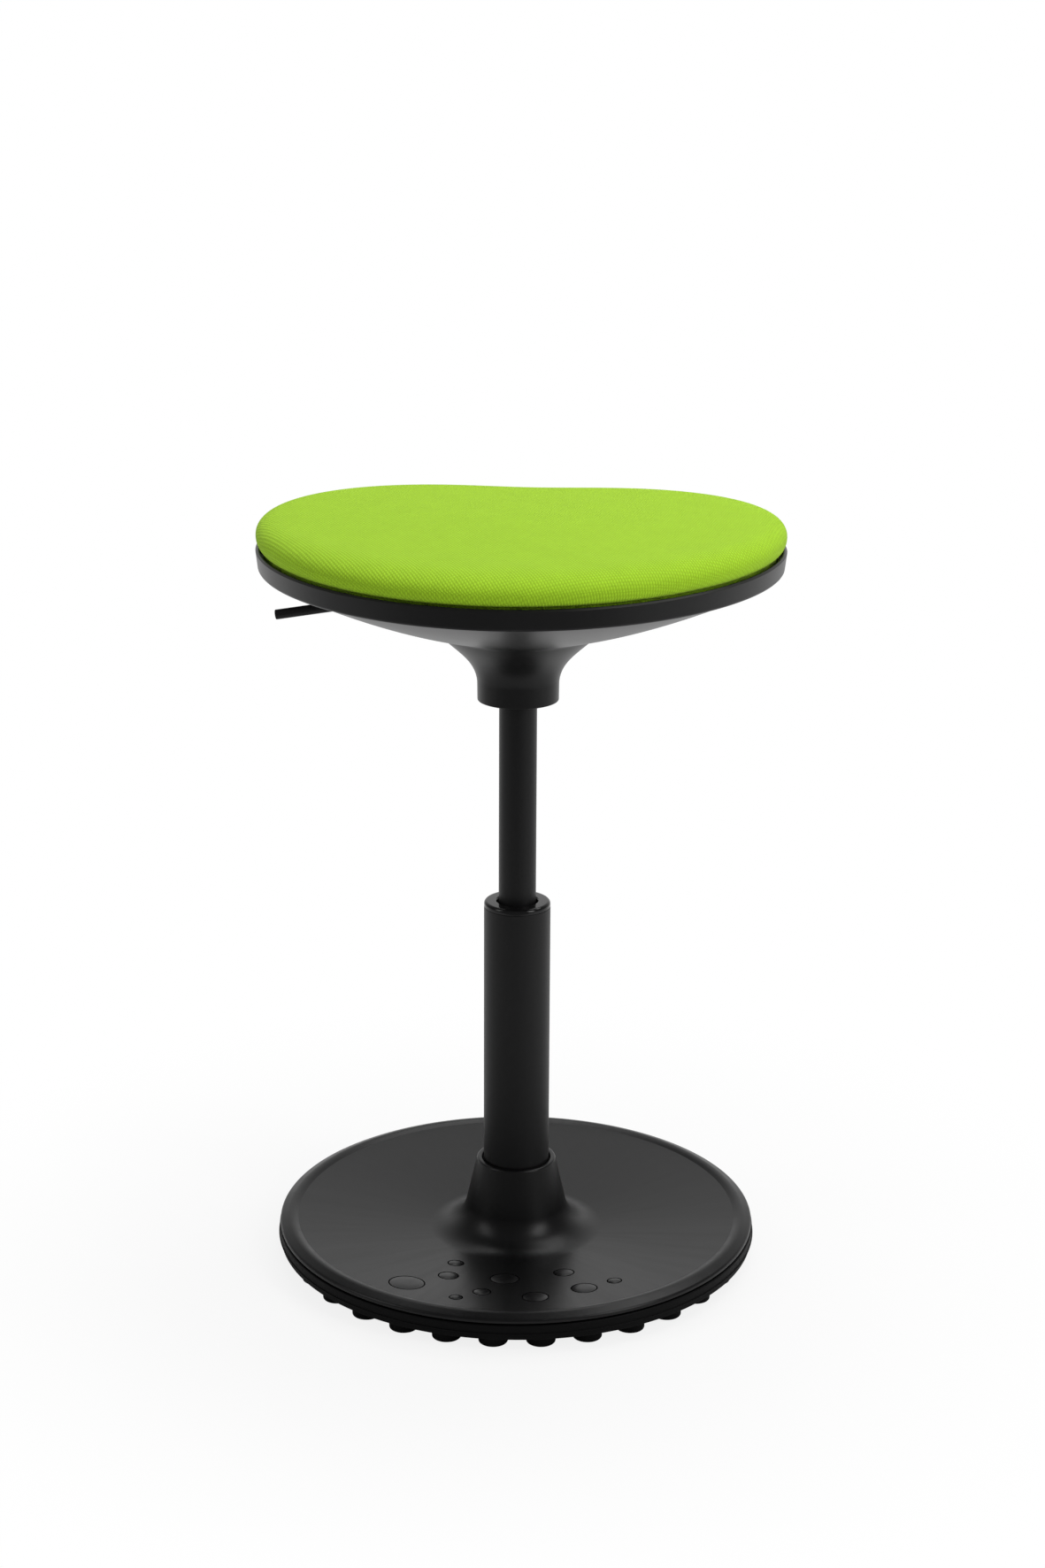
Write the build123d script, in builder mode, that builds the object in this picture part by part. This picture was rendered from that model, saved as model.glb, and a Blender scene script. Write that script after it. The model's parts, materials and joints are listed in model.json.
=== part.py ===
from build123d import *
import math
import os

# Height-adjustable office stool: dished foot on rubber studs, gas-lift column, padded seat in a moulded pan.
# Millimetres, +Z up. The floor is at zero, the column stands on the Z axis, the seat's nose points to -Y.
# Everything is drawn with the column fully out, as a gas lift stands when nobody sits on it.

os.makedirs("parts", exist_ok=True)

# Foot
dish_radius = 182.2
dish_wall = 3.8
floor_low_radius = 66.0
floor_low_z = 14.9
floor_rise_deg = 6.54
rim_roll_width = 13.7
bead_setback = 7.0
bead_rise = 1.65
bead_drop = 4.6
hub_top_z = 72.0
hub_lip_height = 6.0
hub_lip_gap = 1.0
hub_lip_width = 4.0
hub_draft_deg = 12.86
hub_fillet = 26.0
dot_rise = 0.45
# Each dot: distance in from the rim, angle from the front towards +X, diameter.
dots = [
    (37.4, -29.0, 25.4), (69.1, -21.6, 14.0), (94.8, -26.4, 10.9), (31.1, -12.1, 8.6), (47.7, -6.0, 11.9),
    (77.4, 0.1, 20.4), (39.7, 10.4, 18.2), (82.9, 25.8, 14.1), (46.7, 26.4, 18.1), (47.2, 37.3, 9.6),
]
dish_rib_count = 8
dish_rib_width = 3.0
dish_rib_reach = 74.0

sole_overhang = 1.4
sole_width = 31.6
sole_low_z = 10.8
sole_step_z = 15.2
sole_step = 1.4
sole_ledge = 3.84
stud_count = 30
stud_setback = 18.6
stud_radius = 10.8
stud_start_deg = -91.0
stud_edge = 1.4

plate_low_z = 8.0
plate_thick = 3.0
plate_gap = 0.3
plate_hole = 20.0
ballast_inner = 78.0
foot_screw_setback = 31.7
foot_screw_count = 8
foot_screw_radius = 2.5
foot_screw_head = 5.0
foot_screw_cover = 1.59

# Column, standing part
tube_radius = 25.0
tube_wall = 1.8
tube_lift_off = 2.0
tube_top_z = 276.2
tube_taper = 1.5
tube_taper_below_lip = 2.0
socket_wall = 2.7
socket_gap = 0.3
socket_below_lip = 0.4
end_plate_thick = 4.0
rod_radius = 5.0
rod_stick_out = 3.0
clip_radius = 9.5
clip_groove = 3.8
clip_thick = 1.2
clip_gap = 0.3
washer_radius = 14.0
washer_thick = 1.6
ball_count = 12
ball_radius = 2.0
ball_ring_radius = 10.0
ball_play = 0.05
bumper_height = 11.7
bumper_radius = 11.0
bush_length = 84.2
bush_play = 0.06
bush_mouth = 2.3
bush_mouth_depth = 2.1
collar_height = 4.4
collar_chamfer = 1.1

# Column, sliding part
stroke = 150.0
stroke_spare = 0.5
lift_radius = 14.0
lift_wall = 2.2
lift_stick_up = 4.5
lift_taper = 1.0
lift_taper_length = 60.0
gland_length = 21.5
cylinder_bore = 10.2
cylinder_wall = 1.0
cylinder_below_top = 45.0
valve_below_top = 2.0
valve_plug = 8.0
piston_gap = 2.0
piston_length = 12.0
piston_play = 0.06
piston_groove_at = (4.0, 7.6)
piston_groove_depth = 1.74
rod_thread_radius = 3.5
piston_nut_flats = 9.0
piston_nut_height = 5.0

# Seat outline: radius as a short cosine series of the angle from the nose
seat_outline_terms = (184.5, 8.0, -11.4, 12.0, -3.4, 0.9)
seat_outline_points = 20

# Seat pan
neck_gap = 6.0
neck_radius = 30.0
neck_wall = 3.0
neck_hole_play = 1.5
neck_straight = 9.4
# Flare of the neck: radius beyond the neck, depth below the crease
neck_flare = [(15.0, 9.4), (6.0, 18.4), (1.3, 28.8)]
crease_radius = 60.0
crease_rise = 48.7
pan_wall = 3.6
pan_mid_share = 0.55
pan_mid_rise = 24.2
rim_rise = 47.4
rim_height = 15.3
rim_draft = 1.6
rim_foot = 1.8
rim_wall = 2.6
rim_bevel = 1.0
ledge_depth = 8.0
ledge_width = 7.4
pan_rib_count = 6
pan_rib_width = 2.6
pan_rib_rise = 34.7
pan_rib_span = (62.0, 158.0)
pan_screw_ring = 140.0
pan_screw_angles = (-25.0, 50.0, 130.0, 205.0)
pan_boss_radius = 6.5
pan_screw_radius = 2.0
pan_screw_head = 4.0
pan_screw_head_height = 3.5
pan_boss_cap = 7.0
pan_screw_bite = 7.0

# Seat board and cushion
board_thick = 10.0
board_inset = 6.0
foam_inset = 7.0
foam_thick = 18.6
foam_chamfer = 9.0
cover_thick = 1.2
cover_hem_gap = 1.0
# Outside of the padded cover: height above the board, inset from the rim's outline
cover_side = [(0.0, 4.8), (3.0, 1.9), (7.0, 0.3), (11.0, 1.0)]
# Shoulder of the cover: height above the foam, inset from the rim's outline
cover_shoulder = [(-3.4, 4.0), (0.2, 9.4), (2.2, 18.0)]
# Crown of the cover: height above the foam, share of the rim's outline
cover_crown = [(3.3, 0.78), (4.2, 0.5)]

# Seat plate, lever and release pin
seat_plate_size = (170.0, 130.0)
seat_plate_thick = 2.5
pocket_size = (96.0, 70.0)
pocket_depth = 32.0
pocket_corner = 9.0
plate_bolt_at = (70.0, 50.0)
plate_bolt_radius = 3.0
plate_bolt_head = 6.0
plate_bolt_head_height = 3.6
tee_barrel_radius = 4.0
tee_flange_radius = 9.0
tee_flange_thick = 1.2
tee_end_gap = 1.0
seat_socket_radius = 17.5
seat_socket_skirt = 3.0
seat_socket_play = 0.3

lever_radius = 3.7
lever_end_x = -178.9
lever_slope_deg = 9.5
lever_inner_x = 5.0
lever_flat_x = -10.0
pivot_x = -30.0
pivot_drop = 18.98
pivot_radius = 2.5
pivot_play = 0.05
lever_slot = (-154.0, -99.0)
lever_slot_width = 10.0
pin_radius = 3.0
pin_play = 0.05
pin_length_below_top = 35.0
pin_well = 5.0
pin_gap = 0.4


def half_section(points):
    """Face in the XZ plane from (radius, height) corners, to be turned about Z."""
    with BuildSketch(Plane.XZ) as section:
        with BuildLine():
            Polyline(*points, close=True)
        make_face()
    return section.sketch


def circle_at(z, radius):
    """Round face at a height, centred on the column, whose seam is at the back as on the seat outline."""
    with BuildSketch(Plane((0, 0, z), x_dir=(0, 1, 0), z_dir=(0, 0, 1))) as disc:
        Circle(radius)
    return disc.sketch


def seat_radius(angle):
    """Distance from the column to the rim's outer face, with the angle counted from the nose."""
    return sum(term * math.cos(order * angle) for order, term in enumerate(seat_outline_terms))


def seat_face(z, inset=0.0, share=1.0, core=0.0):
    """Seat outline at a height, drawn in by an inset, or part of the way from a round core to the outline."""
    points = []
    for step in range(seat_outline_points):
        angle = math.pi + 2 * math.pi * step / seat_outline_points
        radius = core + (seat_radius(angle) - inset - core) * share
        points.append((radius * math.sin(angle), -radius * math.cos(angle)))
    with BuildSketch(Plane.XY.offset(z)) as outline:
        with BuildLine():
            Spline(*points, periodic=True)
        make_face()
    return outline.sketch


def floor_height(radius, drop=0.0):
    """Height of the dish's floor, or of a surface that far below it."""
    rise = math.tan(math.radians(floor_rise_deg))
    return floor_low_z - drop + (radius - floor_low_radius) * rise


def hub_floor_corner(radius, z, drop=0.0):
    """Corner where the hub's side through (radius, z) meets the floor or a surface below it."""
    draft = math.tan(math.radians(hub_draft_deg))
    rise = math.tan(math.radians(floor_rise_deg))
    level = floor_low_z - drop - floor_low_radius * rise
    corner_radius = (radius + (z - level) * draft) / (1 + draft * rise)
    return corner_radius, level + corner_radius * rise


def hand_in(builder, node):
    """Label a finished sub-part and write its file."""
    builder.part.label = node
    export_step(builder.part, "parts/" + node + ".step")


# Foot sizes that follow from the driving ones
floor_outer_radius = dish_radius - rim_roll_width
bead_crest = (dish_radius - bead_setback, floor_height(floor_outer_radius) + bead_rise)
sole_outer = dish_radius + sole_overhang
sole_inner = sole_outer - sole_width
stud_ring_radius = sole_outer - stud_setback
ledge_radius = sole_inner + sole_ledge
dish_seat_z = floor_height(ledge_radius, dish_wall)
plate_top_z = plate_low_z + plate_thick
plate_radius = sole_inner - plate_gap
foot_screw_ring = plate_radius - foot_screw_setback
foot_screw_top_z = floor_height(foot_screw_ring) - foot_screw_cover

# Column sizes that follow
hub_lip_inner = tube_radius + hub_lip_gap
hub_lip_outer = hub_lip_inner + hub_lip_width
hub_shoulder_z = hub_top_z - hub_lip_height
socket_top_z = hub_shoulder_z - socket_below_lip
socket_radius = tube_radius + socket_wall
hub_inner_radius = socket_radius + socket_gap
tube_taper_z = hub_shoulder_z - tube_taper_below_lip
tube_low_z = plate_top_z + tube_lift_off
tube_bore = tube_radius - tube_wall
tube_foot_bore = tube_bore - tube_taper
end_plate_top_z = tube_low_z + end_plate_thick
rod_low_z = tube_low_z - rod_stick_out
clip_low_z = tube_low_z - clip_gap - clip_thick
lower_washer_top_z = end_plate_top_z + washer_thick
ball_centre_z = lower_washer_top_z + ball_play + ball_radius
upper_washer_z = ball_centre_z + ball_radius + ball_play
upper_washer_top_z = upper_washer_z + washer_thick
bumper_top_z = upper_washer_top_z + bumper_height
bush_low_z = tube_top_z - bush_length
bush_top_z = tube_top_z + collar_height
lift_bore = lift_radius - lift_wall
lift_low_z = bumper_top_z + stroke + stroke_spare
gland_top_z = lift_low_z + gland_length
piston_low_z = gland_top_z + piston_gap
piston_top_z = piston_low_z + piston_length
piston_nut_top_z = piston_top_z + piston_nut_height
piston_radius = cylinder_bore - piston_play
piston_groove_radius = piston_radius - piston_groove_depth
piston_groove = (piston_low_z + piston_groove_at[0], piston_low_z + piston_groove_at[1])
cylinder_radius = cylinder_bore + cylinder_wall

# Seat heights that follow, from the neck up: with the seat right down, the neck stops just above the collar
neck_low_z = bush_top_z + stroke + neck_gap
neck_straight_z = neck_low_z + neck_straight
crease_z = neck_low_z + crease_rise
neck_curve = [(neck_radius + beyond, crease_z - depth) for beyond, depth in neck_flare]
neck_hole = lift_radius + neck_hole_play
pan_mid_z = crease_z + pan_mid_rise
pan_rib_top_z = crease_z + pan_rib_rise
rim_low_z = crease_z + rim_rise
rim_top_z = rim_low_z + rim_height
ledge_z = rim_top_z - ledge_depth
pan_screw_head_z = (ledge_z - pan_boss_cap - pan_screw_head_height, ledge_z - pan_boss_cap)
pan_screw_top_z = ledge_z + pan_screw_bite
board_low_z = ledge_z
board_top_z = board_low_z + board_thick
foam_top_z = board_top_z + foam_thick
cover_hem_z = board_low_z + cover_hem_gap
pocket_low_z = board_low_z - pocket_depth
pocket_floor_z = pocket_low_z + seat_plate_thick
tee_low_z = board_low_z + tee_end_gap
lift_top_z = pocket_floor_z + lift_stick_up
lift_taper_z = lift_top_z - lift_taper_length
cylinder_top_z = lift_top_z - cylinder_below_top
valve_low_z = cylinder_top_z - valve_plug
valve_top_z = lift_top_z - valve_below_top
seat_socket_low_z = lift_taper_z - seat_socket_skirt
pivot_z = board_low_z - pivot_drop
pin_low_z = lift_top_z - pin_length_below_top


# Foot dish
outer_corner = hub_floor_corner(hub_lip_outer, hub_top_z)
inner_corner = hub_floor_corner(hub_inner_radius, hub_shoulder_z, dish_wall)
with BuildPart() as dish_ribs:
    with BuildSketch(Plane.XZ) as rib_space:
        with BuildLine():
            Polyline(
                (hub_inner_radius, 0),
                (hub_inner_radius, hub_shoulder_z - 1),
                inner_corner,
                (dish_rib_reach + 3, floor_height(dish_rib_reach + 3, dish_wall - 1)),
                (dish_rib_reach + 3, 0),
                close=True,
            )
        make_face()
        fillet(rib_space.vertices().sort_by_distance(inner_corner)[0], hub_fillet + dish_wall - 1)
    revolve(axis=Axis.Z)
    with BuildSketch(Plane.XY.offset(plate_top_z)):
        with PolarLocations((hub_inner_radius + dish_rib_reach) / 2, dish_rib_count, 180 / dish_rib_count):
            Rectangle(dish_rib_reach - hub_inner_radius, dish_rib_width)
    extrude(amount=hub_top_z, mode=Mode.INTERSECT)

with BuildPart() as foot_dish:
    with BuildSketch(Plane.XZ) as dish_section:
        with BuildLine():
            Polyline(
                (hub_lip_inner, hub_shoulder_z),
                (hub_lip_inner, hub_top_z),
                (hub_lip_outer, hub_top_z),
                outer_corner,
                (floor_outer_radius, floor_height(floor_outer_radius)),
            )
            ThreePointArc(
                (floor_outer_radius, floor_height(floor_outer_radius)),
                bead_crest,
                (dish_radius, bead_crest[1] - bead_drop),
            )
            Polyline(
                (dish_radius, bead_crest[1] - bead_drop),
                (dish_radius, dish_seat_z + 0.6),
                (dish_radius - 0.6, dish_seat_z),
                (ledge_radius, dish_seat_z),
                inner_corner,
                (hub_inner_radius, hub_shoulder_z),
                (hub_lip_inner, hub_shoulder_z),
            )
        make_face()
        fillet(dish_section.vertices().sort_by_distance(inner_corner)[0], hub_fillet + dish_wall)
        fillet(dish_section.vertices().sort_by_distance(outer_corner)[0], hub_fillet)
        fillet(dish_section.vertices().sort_by_distance((hub_lip_outer, hub_top_z))[0], 1.6)
        fillet(dish_section.vertices().sort_by_distance((hub_lip_inner, hub_top_z))[0], 1.0)
    revolve(axis=Axis.Z)
    add(dish_ribs.part)
    for dot_setback, dot_angle, dot_diameter in dots:
        dot_distance = dish_radius - dot_setback
        turn = math.radians(dot_angle)
        tip = math.radians(floor_rise_deg)
        outward = Vector(math.sin(turn), -math.cos(turn), 0)
        dot_plane = Plane(
            origin=outward * dot_distance + Vector(0, 0, floor_height(dot_distance) - 1),
            x_dir=Vector(math.cos(turn), math.sin(turn), 0),
            z_dir=outward * -math.sin(tip) + Vector(0, 0, math.cos(tip)),
        )
        with BuildSketch(dot_plane):
            Circle(dot_diameter / 2)
        extrude(amount=1 + dot_rise)
    with BuildSketch(Plane.XY.offset(plate_top_z)):
        with PolarLocations(foot_screw_ring, foot_screw_count):
            Circle(foot_screw_radius)
    extrude(amount=foot_screw_top_z - plate_top_z, mode=Mode.SUBTRACT)
hand_in(foot_dish, "foot_dish")

# Rubber sole with its studs
with BuildPart() as sole:
    with BuildSketch():
        with PolarLocations(stud_ring_radius, stud_count, stud_start_deg):
            Circle(stud_radius)
    extrude(amount=sole_low_z)
    chamfer(sole.edges().group_by(Axis.Z)[0], stud_edge)
    revolve(
        half_section([
            (sole_inner, sole_low_z),
            (sole_outer - sole_step - 0.6, sole_low_z),
            (sole_outer - sole_step, sole_low_z + 0.6),
            (sole_outer - sole_step, sole_step_z),
            (sole_outer, sole_step_z),
            (sole_outer, dish_seat_z - 0.7),
            (sole_outer - 0.7, dish_seat_z),
            (ledge_radius, dish_seat_z),
            (sole_inner, floor_height(sole_inner, dish_wall)),
        ]),
        axis=Axis.Z,
    )
hand_in(sole, "sole")

# Steel plate under the foot, with countersunk holes
with BuildPart() as base_plate:
    revolve(
        half_section([
            (plate_hole, plate_low_z),
            (plate_radius, plate_low_z),
            (plate_radius, plate_top_z),
            (plate_hole, plate_top_z),
        ]),
        axis=Axis.Z,
    )
    with Locations(Plane.XY.offset(plate_low_z)):
        with PolarLocations(foot_screw_ring, foot_screw_count):
            Cone(
                foot_screw_head,
                foot_screw_radius,
                plate_top_z - plate_low_z,
                align=(Align.CENTER, Align.CENTER, Align.MIN),
                mode=Mode.SUBTRACT,
            )
hand_in(base_plate, "base_plate")

# Cast ring that weighs the foot down
with BuildPart() as ballast_ring:
    revolve(
        half_section([
            (ballast_inner, plate_top_z),
            (plate_radius, plate_top_z),
            (plate_radius, floor_height(plate_radius, dish_wall + 0.3)),
            (ballast_inner, floor_height(ballast_inner, dish_wall + 0.3)),
        ]),
        axis=Axis.Z,
    )
    with BuildSketch(Plane.XY.offset(plate_top_z)):
        with PolarLocations(foot_screw_ring, foot_screw_count):
            Circle(foot_screw_radius + 0.2)
    extrude(amount=dish_seat_z, mode=Mode.SUBTRACT)
hand_in(ballast_ring, "ballast_ring")

# Screws from below through plate and ballast into the dish
with BuildPart() as base_screws:
    with Locations(Plane.XY.offset(plate_low_z)):
        with PolarLocations(foot_screw_ring, foot_screw_count):
            Cone(
                foot_screw_head,
                foot_screw_radius,
                plate_top_z - plate_low_z,
                align=(Align.CENTER, Align.CENTER, Align.MIN),
            )
    with BuildSketch(Plane.XY.offset(plate_top_z)):
        with PolarLocations(foot_screw_ring, foot_screw_count):
            Circle(foot_screw_radius)
    extrude(amount=foot_screw_top_z - plate_top_z)
hand_in(base_screws, "base_screws")

# Sleeve with the taper that holds the column
with BuildPart() as foot_socket:
    revolve(
        half_section([
            (tube_radius - tube_taper, tube_low_z),
            (tube_radius, tube_taper_z),
            (tube_radius, socket_top_z),
            (socket_radius, socket_top_z),
            (socket_radius, plate_top_z),
            (tube_radius - tube_taper, plate_top_z),
        ]),
        axis=Axis.Z,
    )
hand_in(foot_socket, "foot_socket")

# Outer tube of the column
with BuildPart() as outer_tube:
    revolve(
        half_section([
            (tube_radius - tube_taper, tube_low_z),
            (tube_radius, tube_taper_z),
            (tube_radius, tube_top_z),
            (tube_bore, tube_top_z),
            (tube_bore, tube_taper_z),
            (tube_foot_bore, tube_low_z),
        ]),
        axis=Axis.Z,
    )
hand_in(outer_tube, "outer_tube")

# Disc that closes the tube's foot
end_plate_growth = tube_taper * (end_plate_top_z - tube_low_z) / (tube_taper_z - tube_low_z)
with BuildPart() as tube_end_plate:
    revolve(
        half_section([
            (rod_radius + 0.05, tube_low_z),
            (tube_foot_bore, tube_low_z),
            (tube_foot_bore + end_plate_growth, end_plate_top_z),
            (rod_radius + 0.05, end_plate_top_z),
        ]),
        axis=Axis.Z,
    )
hand_in(tube_end_plate, "tube_end_plate")

# Bush that guides the sliding tube, with the glossy collar
with BuildPart() as guide_bush:
    revolve(
        half_section([
            (lift_radius + bush_play, bush_low_z),
            (tube_bore, bush_low_z),
            (tube_bore, tube_top_z),
            (tube_radius, tube_top_z),
            (tube_radius, bush_top_z - collar_chamfer),
            (tube_radius - collar_chamfer, bush_top_z),
            (lift_radius + bush_mouth, bush_top_z),
            (lift_radius + bush_play, bush_top_z - bush_mouth_depth),
        ]),
        axis=Axis.Z,
    )
hand_in(guide_bush, "guide_bush")

# Thrust bearing
with BuildPart() as bearing_lower_washer:
    with BuildSketch(Plane.XY.offset(end_plate_top_z)):
        Circle(washer_radius)
        Circle(rod_radius + 0.3, mode=Mode.SUBTRACT)
    extrude(amount=washer_thick)
hand_in(bearing_lower_washer, "bearing_lower_washer")

with BuildPart() as bearing_cage:
    with BuildSketch(Plane.XY.offset(ball_centre_z - 0.7)):
        Circle(ball_ring_radius + ball_radius + 1.2)
        Circle(ball_ring_radius - ball_radius - 1.2, mode=Mode.SUBTRACT)
        with PolarLocations(ball_ring_radius, ball_count):
            Circle(ball_radius + 0.05, mode=Mode.SUBTRACT)
    extrude(amount=1.4)
hand_in(bearing_cage, "bearing_cage")

with BuildPart() as bearing_balls:
    with Locations(Plane.XY.offset(ball_centre_z)):
        with PolarLocations(ball_ring_radius, ball_count):
            Sphere(ball_radius)
hand_in(bearing_balls, "bearing_balls")

with BuildPart() as bearing_upper_washer:
    with BuildSketch(Plane.XY.offset(upper_washer_z)):
        Circle(washer_radius)
        Circle(rod_radius, mode=Mode.SUBTRACT)
    extrude(amount=washer_thick)
hand_in(bearing_upper_washer, "bearing_upper_washer")

with BuildPart() as bumper:
    revolve(
        half_section([
            (rod_radius, upper_washer_top_z),
            (bumper_radius, upper_washer_top_z),
            (bumper_radius, bumper_top_z - 3),
            (bumper_radius - 2, bumper_top_z),
            (rod_radius, bumper_top_z),
        ]),
        axis=Axis.Z,
    )
hand_in(bumper, "bumper")

# Piston rod, with the clip's groove below and the thread for the piston above
with BuildPart() as piston_rod:
    revolve(
        half_section([
            (0, rod_low_z),
            (rod_radius - 0.6, rod_low_z),
            (rod_radius, rod_low_z + 0.6),
            (rod_radius, clip_low_z),
            (clip_groove, clip_low_z),
            (clip_groove, clip_low_z + clip_thick),
            (rod_radius, clip_low_z + clip_thick),
            (rod_radius, piston_low_z),
            (rod_thread_radius, piston_low_z),
            (rod_thread_radius, piston_nut_top_z + 1),
            (0, piston_nut_top_z + 1),
        ]),
        axis=Axis.Z,
    )
hand_in(piston_rod, "piston_rod")

with BuildPart() as retaining_clip:
    with BuildSketch(Plane.XY.offset(clip_low_z)):
        Circle(clip_radius)
        Circle(clip_groove, mode=Mode.SUBTRACT)
        with Locations((0, -8)):
            Rectangle(2 * clip_groove, 16, mode=Mode.SUBTRACT)
    extrude(amount=clip_thick)
hand_in(retaining_clip, "retaining_clip")

with BuildPart() as piston:
    revolve(
        half_section([
            (rod_thread_radius, piston_low_z),
            (piston_radius, piston_low_z),
            (piston_radius, piston_groove[0]),
            (piston_groove_radius, piston_groove[0]),
            (piston_groove_radius, piston_groove[1]),
            (piston_radius, piston_groove[1]),
            (piston_radius, piston_top_z),
            (rod_thread_radius, piston_top_z),
        ]),
        axis=Axis.Z,
    )
hand_in(piston, "piston")

with BuildPart() as piston_seal:
    revolve(
        half_section([
            (piston_groove_radius, piston_groove[0]),
            (cylinder_bore - 0.03, piston_groove[0] + 0.4),
            (cylinder_bore - 0.03, piston_groove[1] - 0.4),
            (piston_groove_radius, piston_groove[1]),
        ]),
        axis=Axis.Z,
    )
hand_in(piston_seal, "piston_seal")

with BuildPart() as piston_nut:
    with BuildSketch(Plane.XY.offset(piston_top_z)):
        RegularPolygon(piston_nut_flats / 2, 6, major_radius=False)
        Circle(rod_thread_radius, mode=Mode.SUBTRACT)
    extrude(amount=piston_nut_top_z - piston_top_z)
hand_in(piston_nut, "piston_nut")

# Sliding tube of the gas spring, with its tapered top
with BuildPart() as pressure_tube:
    revolve(
        half_section([
            (lift_bore, lift_low_z),
            (lift_radius - 0.6, lift_low_z),
            (lift_radius, lift_low_z + 0.6),
            (lift_radius, lift_taper_z),
            (lift_radius - lift_taper, lift_top_z),
            (lift_bore, lift_top_z),
        ]),
        axis=Axis.Z,
    )
hand_in(pressure_tube, "pressure_tube")

with BuildPart() as rod_gland:
    revolve(
        half_section([
            (rod_radius + 0.06, lift_low_z),
            (lift_bore, lift_low_z),
            (lift_bore, gland_top_z),
            (rod_radius + 0.06, gland_top_z),
        ]),
        axis=Axis.Z,
    )
hand_in(rod_gland, "rod_gland")

with BuildPart() as inner_cylinder:
    with BuildSketch(Plane.XY.offset(gland_top_z)):
        Circle(cylinder_radius)
        Circle(cylinder_bore, mode=Mode.SUBTRACT)
    extrude(amount=cylinder_top_z - gland_top_z)
hand_in(inner_cylinder, "inner_cylinder")

with BuildPart() as valve_body:
    revolve(
        half_section([
            (0, valve_low_z),
            (cylinder_bore, valve_low_z),
            (cylinder_bore, cylinder_top_z),
            (lift_bore, cylinder_top_z),
            (lift_bore, valve_top_z),
            (pin_radius + pin_play, valve_top_z),
            (pin_radius + pin_play, pin_low_z - pin_well),
            (0, pin_low_z - pin_well),
        ]),
        axis=Axis.Z,
    )
hand_in(valve_body, "valve_body")

# Sleeve with the upper taper
socket_mouth = lift_radius - lift_taper * (pocket_floor_z - lift_taper_z) / (lift_top_z - lift_taper_z)
with BuildPart() as seat_socket:
    revolve(
        half_section([
            (lift_radius + seat_socket_play, seat_socket_low_z),
            (seat_socket_radius, seat_socket_low_z),
            (seat_socket_radius, pocket_floor_z),
            (socket_mouth, pocket_floor_z),
            (lift_radius, lift_taper_z),
            (lift_radius + seat_socket_play, lift_taper_z),
        ]),
        axis=Axis.Z,
    )
hand_in(seat_socket, "seat_socket")

# Lever, which slopes down to its outer end
lever_slope = math.tan(math.radians(lever_slope_deg))


def lever_height(x):
    """Height of the lever's centre line."""
    return pivot_z + (x - pivot_x) * lever_slope


pin_top_z = lever_height(0) - lever_radius / math.cos(math.radians(lever_slope_deg))
lever_plane = Plane(
    origin=(lever_end_x, 0, lever_height(lever_end_x)),
    x_dir=(0, 1, 0),
    z_dir=(math.cos(math.radians(lever_slope_deg)), 0, math.sin(math.radians(lever_slope_deg))),
)
with BuildPart() as lever_rod:
    with BuildSketch(lever_plane):
        Circle(lever_radius)
    extrude(amount=(lever_inner_x - lever_end_x) / math.cos(math.radians(lever_slope_deg)))
    chamfer(lever_rod.edges().group_by(Axis.X)[0], 0.5)
    with BuildSketch(Plane.XY.offset(pin_top_z + pin_gap)):
        with Locations((lever_flat_x + 15, 0)):
            Rectangle(30, 20)
    extrude(amount=-20, mode=Mode.SUBTRACT)
    with BuildSketch(Plane.XZ.offset(-20)):
        with Locations((pivot_x, pivot_z)):
            Circle(pivot_radius)
    extrude(amount=40, mode=Mode.SUBTRACT)
hand_in(lever_rod, "lever_rod")

pivot_length = pocket_size[1] + 2
with BuildPart() as lever_pivot:
    with BuildSketch(Plane.XZ.offset(-pivot_length / 2)):
        with Locations((pivot_x, pivot_z)):
            Circle(pivot_radius)
    extrude(amount=pivot_length)
hand_in(lever_pivot, "lever_pivot")

with BuildPart() as release_pin:
    revolve(
        half_section([
            (0, pin_low_z),
            (pin_radius, pin_low_z),
            (pin_radius, pin_top_z - 1.2),
            (pin_radius - 1.6, pin_top_z),
            (0, pin_top_z),
        ]),
        axis=Axis.Z,
    )
hand_in(release_pin, "release_pin")

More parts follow.
